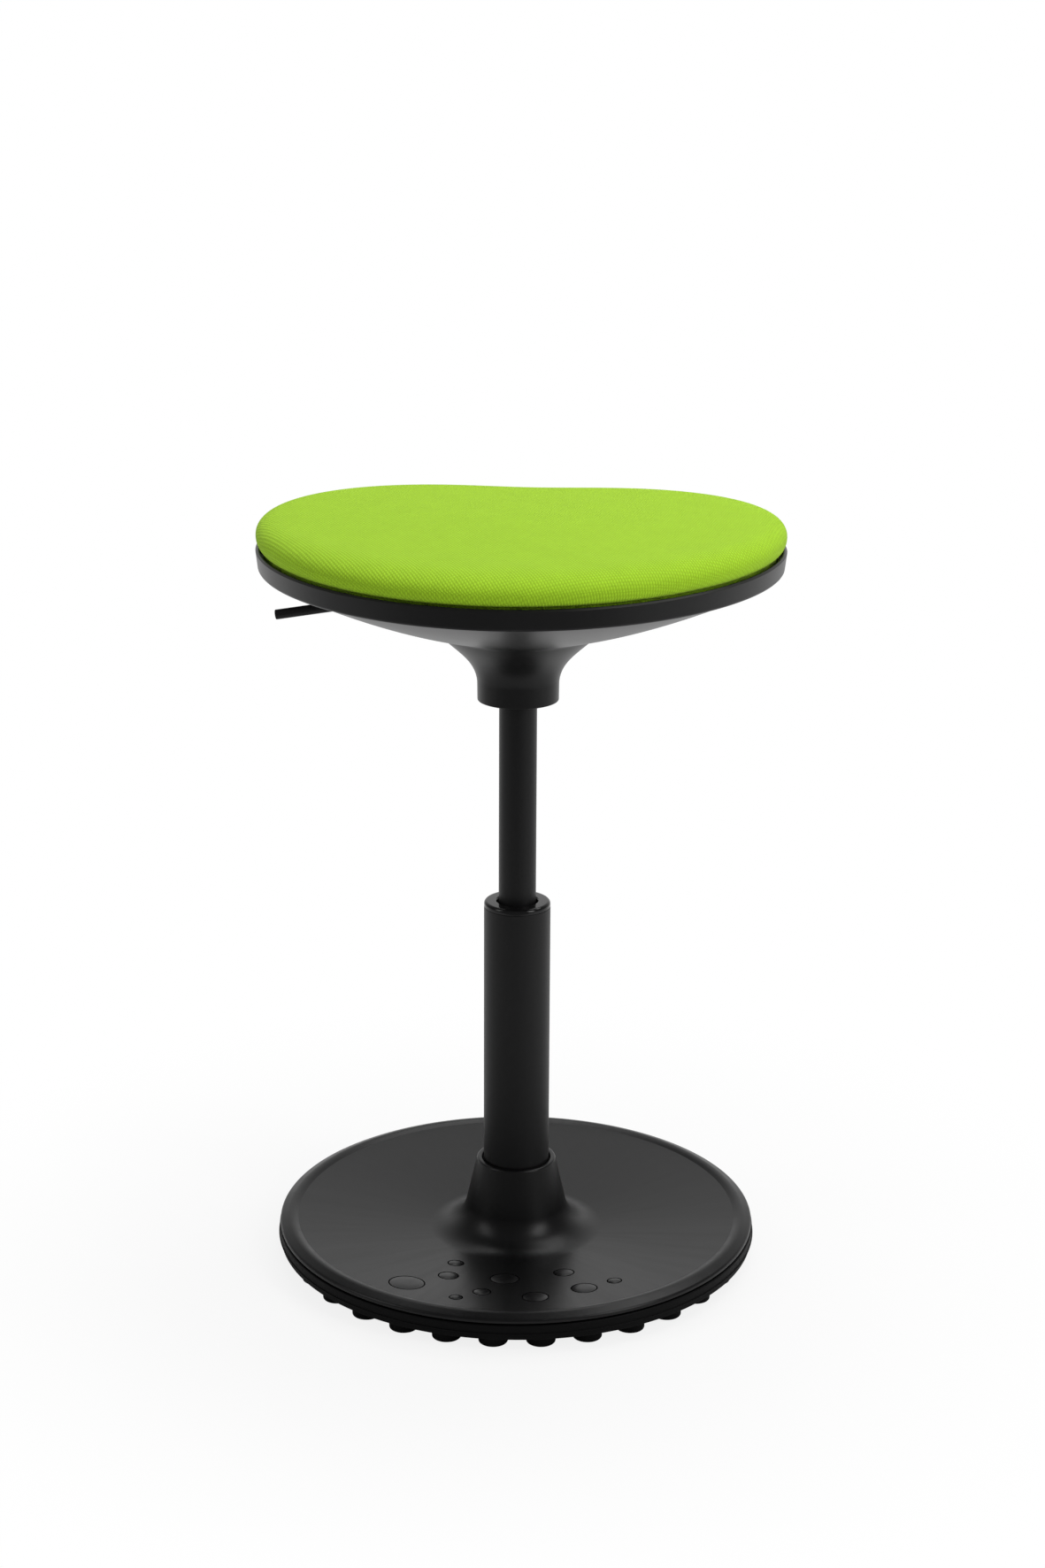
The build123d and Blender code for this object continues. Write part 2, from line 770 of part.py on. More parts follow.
# Pressed plate under the board, with a pocket for the lever
with BuildPart() as seat_plate:
    with BuildSketch(Plane.XY.offset(board_low_z - seat_plate_thick)):
        RectangleRounded(*seat_plate_size, 14)
    extrude(amount=seat_plate_thick)
    with BuildSketch(Plane.XY.offset(pocket_low_z)):
        RectangleRounded(*pocket_size, pocket_corner)
    extrude(amount=board_low_z - pocket_low_z)
    with BuildSketch(Plane.XY.offset(pocket_floor_z)):
        RectangleRounded(
            pocket_size[0] - 2 * seat_plate_thick,
            pocket_size[1] - 2 * seat_plate_thick,
            pocket_corner - seat_plate_thick,
        )
    extrude(amount=board_low_z - pocket_floor_z, mode=Mode.SUBTRACT)
    with BuildSketch(Plane.XY.offset(pocket_low_z)):
        Circle(seat_socket_radius)
    extrude(amount=seat_plate_thick, mode=Mode.SUBTRACT)
    with BuildSketch(Plane.XY.offset(board_low_z - seat_plate_thick)):
        with GridLocations(2 * plate_bolt_at[0], 2 * plate_bolt_at[1], 2, 2):
            Circle(plate_bolt_radius + 0.1)
    extrude(amount=seat_plate_thick, mode=Mode.SUBTRACT)
    with BuildSketch(Plane.XZ.offset(-pocket_size[1])):
        with Locations((pivot_x, pivot_z)):
            Circle(pivot_radius + pivot_play)
    extrude(amount=2 * pocket_size[1], mode=Mode.SUBTRACT)
    with BuildSketch(Plane.YZ.offset(-pocket_size[0] / 2 - 1)):
        with Locations((0, lever_height(-pocket_size[0] / 2) + 1.2)):
            SlotOverall(14.0, 2 * lever_radius + 1.2, rotation=90)
    extrude(amount=seat_plate_thick + 2, mode=Mode.SUBTRACT)
hand_in(seat_plate, "seat_plate")

# Bolts and tee nuts that hold the plate to the board
with BuildPart() as plate_screws:
    with BuildSketch(Plane.XY.offset(board_low_z - seat_plate_thick - plate_bolt_head_height)):
        with GridLocations(2 * plate_bolt_at[0], 2 * plate_bolt_at[1], 2, 2):
            Circle(plate_bolt_head)
    extrude(amount=plate_bolt_head_height)
    with BuildSketch(Plane.XY.offset(board_low_z - seat_plate_thick)):
        with GridLocations(2 * plate_bolt_at[0], 2 * plate_bolt_at[1], 2, 2):
            Circle(plate_bolt_radius)
    extrude(amount=board_top_z - tee_flange_thick - board_low_z + seat_plate_thick)
hand_in(plate_screws, "plate_screws")

with BuildPart() as tee_nuts:
    with BuildSketch(Plane.XY.offset(tee_low_z)):
        with GridLocations(2 * plate_bolt_at[0], 2 * plate_bolt_at[1], 2, 2):
            Circle(tee_barrel_radius)
            Circle(plate_bolt_radius, mode=Mode.SUBTRACT)
    extrude(amount=board_top_z - tee_flange_thick - tee_low_z)
    with BuildSketch(Plane.XY.offset(board_top_z - tee_flange_thick)):
        with GridLocations(2 * plate_bolt_at[0], 2 * plate_bolt_at[1], 2, 2):
            Circle(tee_flange_radius)
    extrude(amount=tee_flange_thick)
hand_in(tee_nuts, "tee_nuts")

# Seat pan: the full block, the hollow in it, and what stands in the hollow
with BuildPart() as pan_block:
    loft(
        [
            seat_face(rim_low_z, inset=rim_draft + rim_foot),
            seat_face(rim_low_z + rim_foot, inset=rim_draft),
            seat_face(rim_top_z - rim_bevel),
            seat_face(rim_top_z, inset=rim_bevel),
        ],
        ruled=True,
    )
    loft([
        seat_face(rim_low_z, inset=rim_draft + rim_foot + 0.4),
        seat_face(pan_mid_z, share=pan_mid_share, core=crease_radius),
        circle_at(crease_z, crease_radius),
    ])
    with BuildSketch(Plane.XZ):
        with BuildLine():
            Spline(
                (crease_radius, crease_z),
                *neck_curve,
                (neck_radius, neck_straight_z),
                tangents=[(-1, -0.5), (0, -1)],
            )
            Polyline(
                (neck_radius, neck_straight_z),
                (neck_radius, neck_low_z + 0.8),
                (neck_radius - 0.8, neck_low_z),
                (0, neck_low_z),
                (0, crease_z),
                (crease_radius, crease_z),
            )
        make_face()
    revolve(axis=Axis.Z)

with BuildPart() as pan_hollow:
    extrude(seat_face(ledge_z, inset=rim_wall), amount=rim_top_z - ledge_z)
    loft([
        seat_face(ledge_z, inset=rim_wall + ledge_width),
        seat_face(pan_mid_z + pan_wall, share=pan_mid_share, core=crease_radius - 3),
        circle_at(crease_z + pan_wall, crease_radius - 3),
    ])
    with BuildSketch(Plane.XZ):
        with BuildLine():
            Spline(
                (crease_radius - 3, crease_z + pan_wall),
                *[(radius - neck_wall + 0.4, z + 2.4) for radius, z in neck_curve],
                (neck_radius - neck_wall, neck_straight_z),
                tangents=[(-1, -0.5), (0, -1)],
            )
            Polyline(
                (neck_radius - neck_wall, neck_straight_z),
                (neck_radius - neck_wall, neck_low_z + neck_wall),
                (neck_hole, neck_low_z + neck_wall),
                (neck_hole, neck_low_z),
                (0, neck_low_z),
                (0, crease_z + pan_wall),
                (crease_radius - 3, crease_z + pan_wall),
            )
        make_face()
    revolve(axis=Axis.Z)

with BuildPart() as pan_inside:
    with BuildSketch(Plane.XY.offset(crease_z)):
        with PolarLocations(sum(pan_rib_span) / 2, pan_rib_count, 30):
            Rectangle(pan_rib_span[1] - pan_rib_span[0], pan_rib_width)
    extrude(amount=pan_rib_top_z - crease_z)
    for boss_angle in pan_screw_angles:
        with BuildSketch(Plane.XY.offset(crease_z)):
            with PolarLocations(pan_screw_ring, 1, boss_angle):
                Circle(pan_boss_radius)
        extrude(amount=ledge_z - crease_z)
    add(pan_block.part, mode=Mode.INTERSECT)

with BuildPart() as seat_pan:
    add(pan_block.part)
    add(pan_hollow.part, mode=Mode.SUBTRACT)
    add(pan_inside.part)
    for boss_angle in pan_screw_angles:
        with BuildSketch(Plane.XY.offset(crease_z)):
            with PolarLocations(pan_screw_ring, 1, boss_angle):
                Circle(pan_screw_head + 0.4)
        extrude(amount=pan_screw_head_z[1] - crease_z, mode=Mode.SUBTRACT)
        with BuildSketch(Plane.XY.offset(crease_z)):
            with PolarLocations(pan_screw_ring, 1, boss_angle):
                Circle(pan_screw_radius + 0.1)
        extrude(amount=ledge_z - crease_z, mode=Mode.SUBTRACT)
    with BuildSketch(Plane.XY.offset(crease_z)):
        with Locations((sum(lever_slot) / 2, 0)):
            RectangleRounded(lever_slot[1] - lever_slot[0], lever_slot_width, 4)
    extrude(amount=rim_low_z - crease_z, mode=Mode.SUBTRACT)
hand_in(seat_pan, "seat_pan")

with BuildPart() as pan_screws:
    for boss_angle in pan_screw_angles:
        with BuildSketch(Plane.XY.offset(pan_screw_head_z[0])):
            with PolarLocations(pan_screw_ring, 1, boss_angle):
                Circle(pan_screw_head)
        extrude(amount=pan_screw_head_z[1] - pan_screw_head_z[0])
        with BuildSketch(Plane.XY.offset(pan_screw_head_z[1])):
            with PolarLocations(pan_screw_ring, 1, boss_angle):
                Circle(pan_screw_radius)
        extrude(amount=pan_screw_top_z - pan_screw_head_z[1])
hand_in(pan_screws, "pan_screws")

# Plywood board with the holes for nuts and screws
with BuildPart() as seat_board:
    extrude(seat_face(board_low_z, inset=board_inset), amount=board_top_z - board_low_z)
    with BuildSketch(Plane.XY.offset(board_low_z)):
        with GridLocations(2 * plate_bolt_at[0], 2 * plate_bolt_at[1], 2, 2):
            Circle(tee_barrel_radius)
    extrude(amount=board_top_z - board_low_z, mode=Mode.SUBTRACT)
    with BuildSketch(Plane.XY.offset(board_top_z - tee_flange_thick)):
        with GridLocations(2 * plate_bolt_at[0], 2 * plate_bolt_at[1], 2, 2):
            Circle(tee_flange_radius)
    extrude(amount=tee_flange_thick, mode=Mode.SUBTRACT)
    for boss_angle in pan_screw_angles:
        with BuildSketch(Plane.XY.offset(board_low_z)):
            with PolarLocations(pan_screw_ring, 1, boss_angle):
                Circle(pan_screw_radius)
        extrude(amount=pan_screw_top_z - board_low_z, mode=Mode.SUBTRACT)
hand_in(seat_board, "seat_board")

# Foam pad, cut from sheet, and the padded fabric cover drawn over it and round the board's edge
with BuildPart() as seat_foam:
    extrude(seat_face(board_top_z, inset=foam_inset), amount=foam_top_z - board_top_z)
    chamfer(seat_foam.edges().group_by(Axis.Z)[-1], foam_chamfer)
hand_in(seat_foam, "seat_foam")

with BuildPart() as seat_cover:
    cover_faces = [seat_face(board_top_z + rise, inset) for rise, inset in cover_side]
    cover_faces += [seat_face(foam_top_z + rise, inset) for rise, inset in cover_shoulder]
    cover_faces += [seat_face(foam_top_z + rise, share=share) for rise, share in cover_crown]
    loft(cover_faces, ruled=True)
    add(seat_foam.part, mode=Mode.SUBTRACT)
    extrude(seat_face(cover_hem_z, inset=board_inset - cover_thick), amount=board_top_z - cover_hem_z)
    extrude(seat_face(cover_hem_z, inset=board_inset), amount=board_top_z - cover_hem_z, mode=Mode.SUBTRACT)
hand_in(seat_cover, "seat_cover")
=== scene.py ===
import json
import math

import bmesh
import bpy
from bpy.props import FloatProperty, FloatVectorProperty, IntProperty, PointerProperty
from mathutils import Matrix, Vector
from mathutils.bvhtree import BVHTree


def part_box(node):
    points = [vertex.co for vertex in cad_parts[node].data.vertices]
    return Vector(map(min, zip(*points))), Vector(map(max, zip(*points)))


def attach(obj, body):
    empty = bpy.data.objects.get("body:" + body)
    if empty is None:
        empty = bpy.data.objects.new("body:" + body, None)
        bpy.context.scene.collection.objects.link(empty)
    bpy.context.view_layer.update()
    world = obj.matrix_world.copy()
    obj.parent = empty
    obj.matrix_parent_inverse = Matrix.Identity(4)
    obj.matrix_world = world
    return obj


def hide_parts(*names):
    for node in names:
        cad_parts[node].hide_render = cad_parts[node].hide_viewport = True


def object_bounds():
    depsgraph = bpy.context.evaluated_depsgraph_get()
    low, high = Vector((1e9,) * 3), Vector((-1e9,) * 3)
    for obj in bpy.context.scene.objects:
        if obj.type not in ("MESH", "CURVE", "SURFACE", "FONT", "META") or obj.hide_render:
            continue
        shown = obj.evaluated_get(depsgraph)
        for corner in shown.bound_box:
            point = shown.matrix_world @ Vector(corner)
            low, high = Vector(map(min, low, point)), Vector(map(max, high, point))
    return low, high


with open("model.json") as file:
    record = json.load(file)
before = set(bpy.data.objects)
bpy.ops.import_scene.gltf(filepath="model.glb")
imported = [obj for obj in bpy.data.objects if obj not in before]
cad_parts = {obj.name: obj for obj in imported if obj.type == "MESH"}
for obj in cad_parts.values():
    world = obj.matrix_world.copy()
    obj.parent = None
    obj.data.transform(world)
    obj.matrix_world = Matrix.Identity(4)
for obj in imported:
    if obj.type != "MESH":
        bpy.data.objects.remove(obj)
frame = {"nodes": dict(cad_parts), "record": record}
cad_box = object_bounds()

bl_info = {
    "name": "Swivel stool",
    "version": (1, 0, 0),
    "blender": (4, 5, 0),
    "location": "View3D > Sidebar > Stool",
    "description": "Dresses a height-adjustable stool: padded seat, pan, column, dished foot and studs",
    "category": "Object",
}

# Places that come from the frame, in metres
pan_low, pan_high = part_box("seat_pan")
cover_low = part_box("seat_cover")[0]
board_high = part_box("seat_board")[1]
tube_low, tube_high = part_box("outer_tube")
bush_low, bush_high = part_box("guide_bush")
lift_low, lift_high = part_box("pressure_tube")
dish_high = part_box("foot_dish")[1]
sole_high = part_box("sole")[1]
plate_low, plate_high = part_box("base_plate")
lever_low, lever_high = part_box("lever_rod")
pivot_low, pivot_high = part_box("lever_pivot")
foot_screw_low, foot_screw_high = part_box("base_screws")
pan_screw_low, pan_screw_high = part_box("pan_screws")

ROUNDING_STEPS = 5
PHOTO_SIZE = (1181, 1772)


def length(name, description, default):
    """A size that a user may change."""
    return FloatProperty(name=name, description=description, default=default, unit="LENGTH", precision=5)


def turn(name, description, degrees):
    """An angle that a user may change."""
    return FloatProperty(name=name, description=description, default=math.radians(degrees), subtype="ANGLE")


def level(name, description, default):
    """A plain number that a user may change."""
    return FloatProperty(name=name, description=description, default=default, precision=3)


def number(name, description, default):
    """A count that a user may change."""
    return IntProperty(name=name, description=description, default=default, min=3)


def colour(name, description, default):
    """A colour that a user may change."""
    return FloatVectorProperty(
        name=name, description=description, default=default, subtype="COLOR", size=3, min=0.0, max=1.0
    )


class StoolSeatSizes(bpy.types.PropertyGroup):
    """Sizes of the seat pan and of the pad in it."""

    outline: FloatVectorProperty(
        name="Outline",
        description="Mean radius and cosine terms of the rim's outline, counted from the nose",
        default=(0.1845, 0.0080, -0.0114, 0.0120, -0.0034, 0.0009),
        size=6,
        unit="LENGTH",
        precision=5,
    )
    rim_height: length("Rim height", "Height of the band round the seat", 0.0153)
    rim_draft: length("Rim draft", "How far the band leans in at its foot", 0.0016)
    rim_wall: length("Rim wall", "Wall of the band at its top", 0.0026)
    rim_bevel: length("Rim bevel", "Width of the bevel on the band's upper edge", 0.0013)
    rim_foot: length("Rim foot", "Rounding of the band's lower edge", 0.0024)
    rim_groove: length("Rim groove", "Width of the dark line between band and underside", 0.0013)
    rim_groove_depth: length("Rim groove depth", "Depth of that line", 0.0018)
    ledge_depth: length("Ledge depth", "How far the board's ledge lies below the rim", 0.008)
    ledge_width: length("Ledge width", "Width of the board's ledge", 0.0074)
    pan_wall: length("Pan wall", "Wall of the pan's underside", 0.0036)
    underside_mid: level("Underside middle", "Share of the way from the crease to the rim", 0.55)
    underside_mid_rise: length("Underside middle rise", "Height over the crease there", 0.0204)
    underside_rise: length("Underside rise", "Height of the rim's foot over the crease", 0.0436)
    crease_radius: length("Crease radius", "Radius where the neck's flare meets the underside", 0.0605)
    crease_edge: length("Crease edge", "Rounding of the crease", 0.014)
    crease_rise: length("Crease rise", "Height of the crease over the neck's end", 0.0525)
    neck_radius: length("Neck radius", "Outer radius of the neck", 0.030)
    neck_straight: length("Neck straight", "Straight length at the neck's end", 0.0107)
    neck_wall: length("Neck wall", "Wall of the neck", 0.003)
    neck_hole: length("Neck hole", "Radius of the hole for the lift", 0.0155)
    slot_inner: length("Slot inner end", "Distance of the lever slot's inner end", 0.099)
    slot_outer: length("Slot outer end", "Distance of the lever slot's outer end", 0.154)
    slot_width: length("Slot width", "Width of the lever slot", 0.010)
    screw_hole: length("Screw hole", "Radius of the holes for the pan's screws", 0.0044)
    pad_inset: length("Pad inset", "Gap from the rim's outline to the pad's widest line", 0.0004)
    pad_tuck: length("Pad tuck", "How far the pad draws in above the board", 0.0052)
    pad_belly: length("Pad belly", "Height of the pad's widest line over the board", 0.0074)
    pad_gap: length("Pad gap", "Height of the dark line between pad and rim", 0.0012)
    hem_depth: length("Hem depth", "How far the cloth runs down round the board", 0.0080)
    board_inset: length("Board inset", "Distance of the board's edge from the rim's outline", 0.0059)
    pad_shoulder: length("Pad shoulder", "Reach of the roll in from the widest line", 0.0145)
    pad_rise: length("Pad rise", "Height of the shoulder over the widest line", 0.0106)
    pad_waterfall: length("Pad waterfall", "Extra reach of the roll at the nose", 0.020)
    pad_nose_drop: length("Pad nose drop", "How much lower the widest line is at the nose", 0.0036)
    pad_crown: length("Pad crown", "Extra height in the middle", 0.0038)
    pad_swell: length("Pad swell", "Most that the stuffing may push the cloth", 0.0009)


class StoolColumnSizes(bpy.types.PropertyGroup):
    """Sizes of the column and the release lever."""

    tube_wall: length("Tube wall", "Wall of the outer tube", 0.0018)
    tube_taper: length("Tube taper", "How much the tube's foot narrows", 0.0015)
    tube_taper_top: length("Taper top", "Height where the taper begins", 0.064)
    tube_edge: length("Tube edge", "Rounding of the tube's mouth", 0.0004)
    collar_edge: length("Collar edge", "Rounding of the collar's top edge", 0.0024)
    collar_mouth: length("Collar mouth", "Radius of the flare at the collar's mouth", 0.0163)
    collar_mouth_depth: length("Mouth depth", "Depth of that flare", 0.0021)
    slide_gap: length("Sliding gap", "Clearance round the sliding tube", 0.00006)
    lift_wall: length("Lift wall", "Wall of the sliding tube", 0.0022)
    lift_taper: length("Lift taper", "How much its upper end narrows", 0.001)
    lift_taper_length: length("Lift taper length", "Length of that taper", 0.060)
    lever_radius: length("Lever radius", "Radius of the release lever", 0.0037)
    lever_edge: length("Lever edge", "Rounding of the lever's cut end", 0.0005)
    lever_slope: turn("Lever slope", "Fall of the lever towards its outer end", 9.5)
    lever_flat: length("Lever flat", "Distance from the axis where the flat over the pin begins", 0.010)


class StoolFootSizes(bpy.types.PropertyGroup):
    """Sizes of the dished foot, its dots and the rubber sole."""

    wall: length("Wall", "Wall of the dish", 0.0038)
    floor_radius: length("Floor start", "Radius at the lowest line of the dish", 0.066)
    floor_height: length("Floor height", "Height of that line", 0.0149)
    floor_rise: turn("Floor rise", "Slope of the dish's floor", 6.54)
    roll_width: length("Roll width", "Width of the rim's roll", 0.0137)
    crest_inset: length("Crest inset", "Distance of the roll's crest from the edge", 0.0088)
    crest_rise: length("Crest rise", "Height of the crest over the floor's edge", 0.0025)
    crest_edge: length("Crest edge", "Rounding of the crest", 0.0070)
    edge_drop: length("Edge drop", "Fall from the crest to the straight edge", 0.0036)
    edge_round: length("Edge rounding", "Rounding of the dish's edge", 0.0024)
    gap_height: length("Gap height", "Height of the dark line over the sole", 0.0011)
    gap_depth: length("Gap depth", "Depth of that line", 0.0040)
    hub_inner: length("Hub lip inner", "Inner radius of the hub's lip", 0.026)
    hub_outer: length("Hub lip outer", "Outer radius of the hub's lip", 0.030)
    hub_lip: length("Hub lip height", "Height of the lip", 0.006)
    hub_bore: length("Hub bore", "Radius of the hub's inside", 0.028)
    hub_draft: turn("Hub draft", "Slope of the hub's side", 12.86)
    hub_fillet: length("Hub fillet", "Radius of the sweep from hub to floor", 0.026)
    dot_rise: length("Dot rise", "Height of the raised dots", 0.0008)
    dot_groove: length("Dot groove", "Width of the groove round each dot", 0.0010)
    dot_groove_depth: length("Dot groove depth", "Depth of that groove", 0.0020)
    sole_overhang: length("Sole overhang", "How far the sole looks out beyond the dish's edge", 0.0014)
    sole_width: length("Sole width", "Width of the rubber ring", 0.0316)
    sole_ledge: length("Sole ledge", "Width of the ring's bevel under the dish", 0.00384)
    sole_foot: length("Sole foot", "Height of the ring's lower face", 0.0098)
    sole_line: length("Sole line", "Height of the moulding line", 0.0152)
    sole_ridge: length("Sole ridge", "How far the moulding line stands out over the wall above it", 0.0007)
    sole_step: length("Sole step", "How far the ring steps in below that line", 0.0014)
    stud_radius: length("Stud radius", "Radius of a stud", 0.0108)
    stud_edge: length("Stud edge", "Rounding of a stud's lower edge", 0.0014)
    stud_setback: length("Stud setback", "Distance of the studs from the sole's edge", 0.0186)
    stud_count: number("Studs", "Number of studs", 30)
    stud_start: turn("Stud start", "Angle of the first stud", -91.0)
    screw_count: number("Foot screws", "Screws under the foot", 8)
    screw_head: length("Foot screw head", "Head radius of those screws", 0.005)
    screw_shank: length("Foot screw shank", "Shank radius of those screws", 0.0025)
    pan_screw_head: length("Pan screw head", "Head radius of the pan's screws", 0.004)
    pan_screw_shank: length("Pan screw shank", "Shank radius of the pan's screws", 0.002)
    pan_screw_height: length("Pan screw height", "Head height of the pan's screws", 0.0035)


class StoolFinishColours(bpy.types.PropertyGroup):
    """Colours of the finishes, in linear light."""

    cloth: colour("Cloth", "Lime green of the raised yarn", (0.425, 0.720, 0.027))
    # Painted shade: the gaps between the yarns are coloured darker to stand in for their shadow
    cloth_gap_shade: colour("Cloth gaps", "Darker green between the yarns", (0.150, 0.310, 0.003))
    pan: colour("Pan", "Satin black of the seat pan", (0.0088, 0.0088, 0.0090))
    paint: colour("Column paint", "Black of the column", (0.0058, 0.0058, 0.0061))
    collar: colour("Collar", "Glossy black of the collar", (0.0060, 0.0060, 0.0062))
    dish: colour("Dish", "Charcoal of the foot", (0.0027, 0.0027, 0.0029))
    rubber: colour("Rubber", "Black of the sole", (0.0018, 0.0018, 0.0019))
    zinc: colour("Zinc", "Plated steel", (0.55, 0.55, 0.56))
    iron: colour("Cast iron", "Raw casting", (0.080, 0.078, 0.075))
    brass: colour("Brass", "Bearing cage", (0.72, 0.52, 0.22))
    steel: colour("Ground steel", "Polished rods and balls", (0.75, 0.75, 0.76))
    aluminium: colour("Aluminium", "Turned fittings", (0.70, 0.70, 0.72))
    plywood: colour("Plywood", "Seat board", (0.52, 0.36, 0.20))
    foam: colour("Foam", "Padding", (0.80, 0.76, 0.60))


class StoolStageSizes(bpy.types.PropertyGroup):
    """Camera, light and floor."""

    camera_at: FloatVectorProperty(
        name="Camera",
        description="Place of the camera",
        default=(0.1604, -1.9935, 0.9728),
        size=3,
        unit="LENGTH",
    )
    heading: turn("Heading", "Direction of the camera, from +Y towards -X", 4.5)
    pitch: turn("Pitch", "How far the camera looks down", 16.735)
    roll: turn("Roll", "Turn of the camera about its own axis", 0.275)
    focal_pixels: level("Focal length", "Focal length in photo pixels", 3181.8)
    ambient: level("Ambient", "Level of the light from all round", 0.28)
    camera_side: level("Camera side", "Mirrored level on the camera's side", 0.20)
    shadow_share: level("Shadow", "Share of lit floor in its colour", 0.16)


# Each dot: distance in from the dish's edge, angle from the front towards +X in degrees, diameter
DOTS = (
    (0.0374, -29.0, 0.0254), (0.0691, -21.6, 0.0140), (0.0948, -26.4, 0.0109), (0.0311, -12.1, 0.0086),
    (0.0477, -6.0, 0.0119), (0.0774, 0.1, 0.0204), (0.0397, 10.4, 0.0182), (0.0829, 25.8, 0.0141),
    (0.0467, 26.4, 0.0181), (0.0472, 37.3, 0.0096),
)
# Angles of the pan's screws about the column in degrees, and their distance from it
PAN_SCREW_ANGLES = (-25.0, 50.0, 130.0, 205.0)
PAN_SCREW_RING = 0.140


class Flow:
    """A socket of a node tree that takes Python arithmetic."""

    def __init__(self, canvas, socket):
        self.canvas = canvas
        self.socket = socket

    def __add__(self, other):
        return self.canvas.maths("ADD", self, other)

    def __radd__(self, other):
        return self.canvas.maths("ADD", other, self)

    def __sub__(self, other):
        return self.canvas.maths("SUBTRACT", self, other)

    def __rsub__(self, other):
        return self.canvas.maths("SUBTRACT", other, self)

    def __mul__(self, other):
        return self.canvas.maths("MULTIPLY", self, other)

    def __truediv__(self, other):
        return self.canvas.maths("DIVIDE", self, other)

    def __pow__(self, other):
        return self.canvas.maths("POWER", self, other)


class Canvas:
    """A node tree that is being filled."""

    def __init__(self, tree):
        self.tree = tree
        self.tree.nodes.clear()

    def node(self, kind, settings=None, inputs=None, output=0):
        """Any node: its settings first, then the values or links of its sockets."""
        made = self.tree.nodes.new(kind)
        for key, value in (settings or {}).items():
            setattr(made, key, value)
        for key, value in (inputs or {}).items():
            if isinstance(value, Flow):
                self.tree.links.new(value.socket, made.inputs[key])
            else:
                made.inputs[key].default_value = value
        return Flow(self, made.outputs[output]) if len(made.outputs) else None

    def maths(self, operation, *values):
        """A Math node of any kind on its values."""
        return self.node("ShaderNodeMath", {"operation": operation}, dict(enumerate(values)))

    def axes(self, vector):
        """The three parts of a vector."""
        outputs = self.node("ShaderNodeSeparateXYZ", inputs={0: vector}).socket.node.outputs
        return tuple(Flow(self, outputs[axis]) for axis in range(3))

    def vector(self, x, y, z):
        """A vector from three values."""
        return self.node("ShaderNodeCombineXYZ", inputs={0: x, 1: y, 2: z})

    def ramp(self, value, low, high, to_low=0.0, to_high=1.0):
        """Map a stretch of a value smoothly to another and hold it outside."""
        return self.node(
            "ShaderNodeMapRange",
            {"interpolation_type": "SMOOTHSTEP"},
            {"Value": value, "From Min": low, "From Max": high, "To Min": to_low, "To Max": to_high},
        )


class Finish(Canvas):
    """A material made of nodes that end in one principled shader."""

    def __init__(self, name, base, roughness, **constants):
        material = bpy.data.materials.new(name)
        material.use_nodes = True
        material.diffuse_color = (*base, 1.0)
        super().__init__(material.node_tree)
        self.material = material
        shader = self.node("ShaderNodeBsdfPrincipled")
        self.node("ShaderNodeOutputMaterial", inputs={"Surface": shader})
        self.sockets = shader.socket.node.inputs
        self.sockets["Base Color"].default_value = (*base, 1.0)
        self.sockets["Roughness"].default_value = roughness
        for key, value in constants.items():
            self.sockets[key.replace("_", " ")].default_value = value

    def drive(self, socket, flow):
        """Let a value that changes over the surface feed the shader."""
        self.tree.links.new(flow.socket, self.sockets[socket])

    def place(self):
        """Object coordinates in metres."""
        return self.node("ShaderNodeTexCoord", output="Object")

    def noise(self, vector, scale, detail=2.0, rough=0.5):
        """Soft noise between 0 and 1."""
        return self.node(
            "ShaderNodeTexNoise",
            inputs={"Vector": vector, "Scale": scale, "Detail": detail, "Roughness": rough},
        )

    def blend(self, factor, first, second):
        """Mix two colours."""
        return self.node("ShaderNodeMix", {"data_type": "RGBA"}, {0: factor, 6: first, 7: second}, output=2)

    def tint(self, factor, base, dark, light):
        """Let the base colour wander between two shades."""
        self.drive("Base Color", self.blend(factor, shade(base, dark), shade(base, light)))

    def bump(self, height, distance, strength=1.0):
        """Let a height bend the light."""
        self.drive("Normal", self.node(
            "ShaderNodeBump", inputs={"Height": height, "Distance": distance, "Strength": strength}
        ))


def shade(base, factor):
    """A lighter or darker version of a colour."""
    return (*(min(1.0, part * factor) for part in base), 1.0)


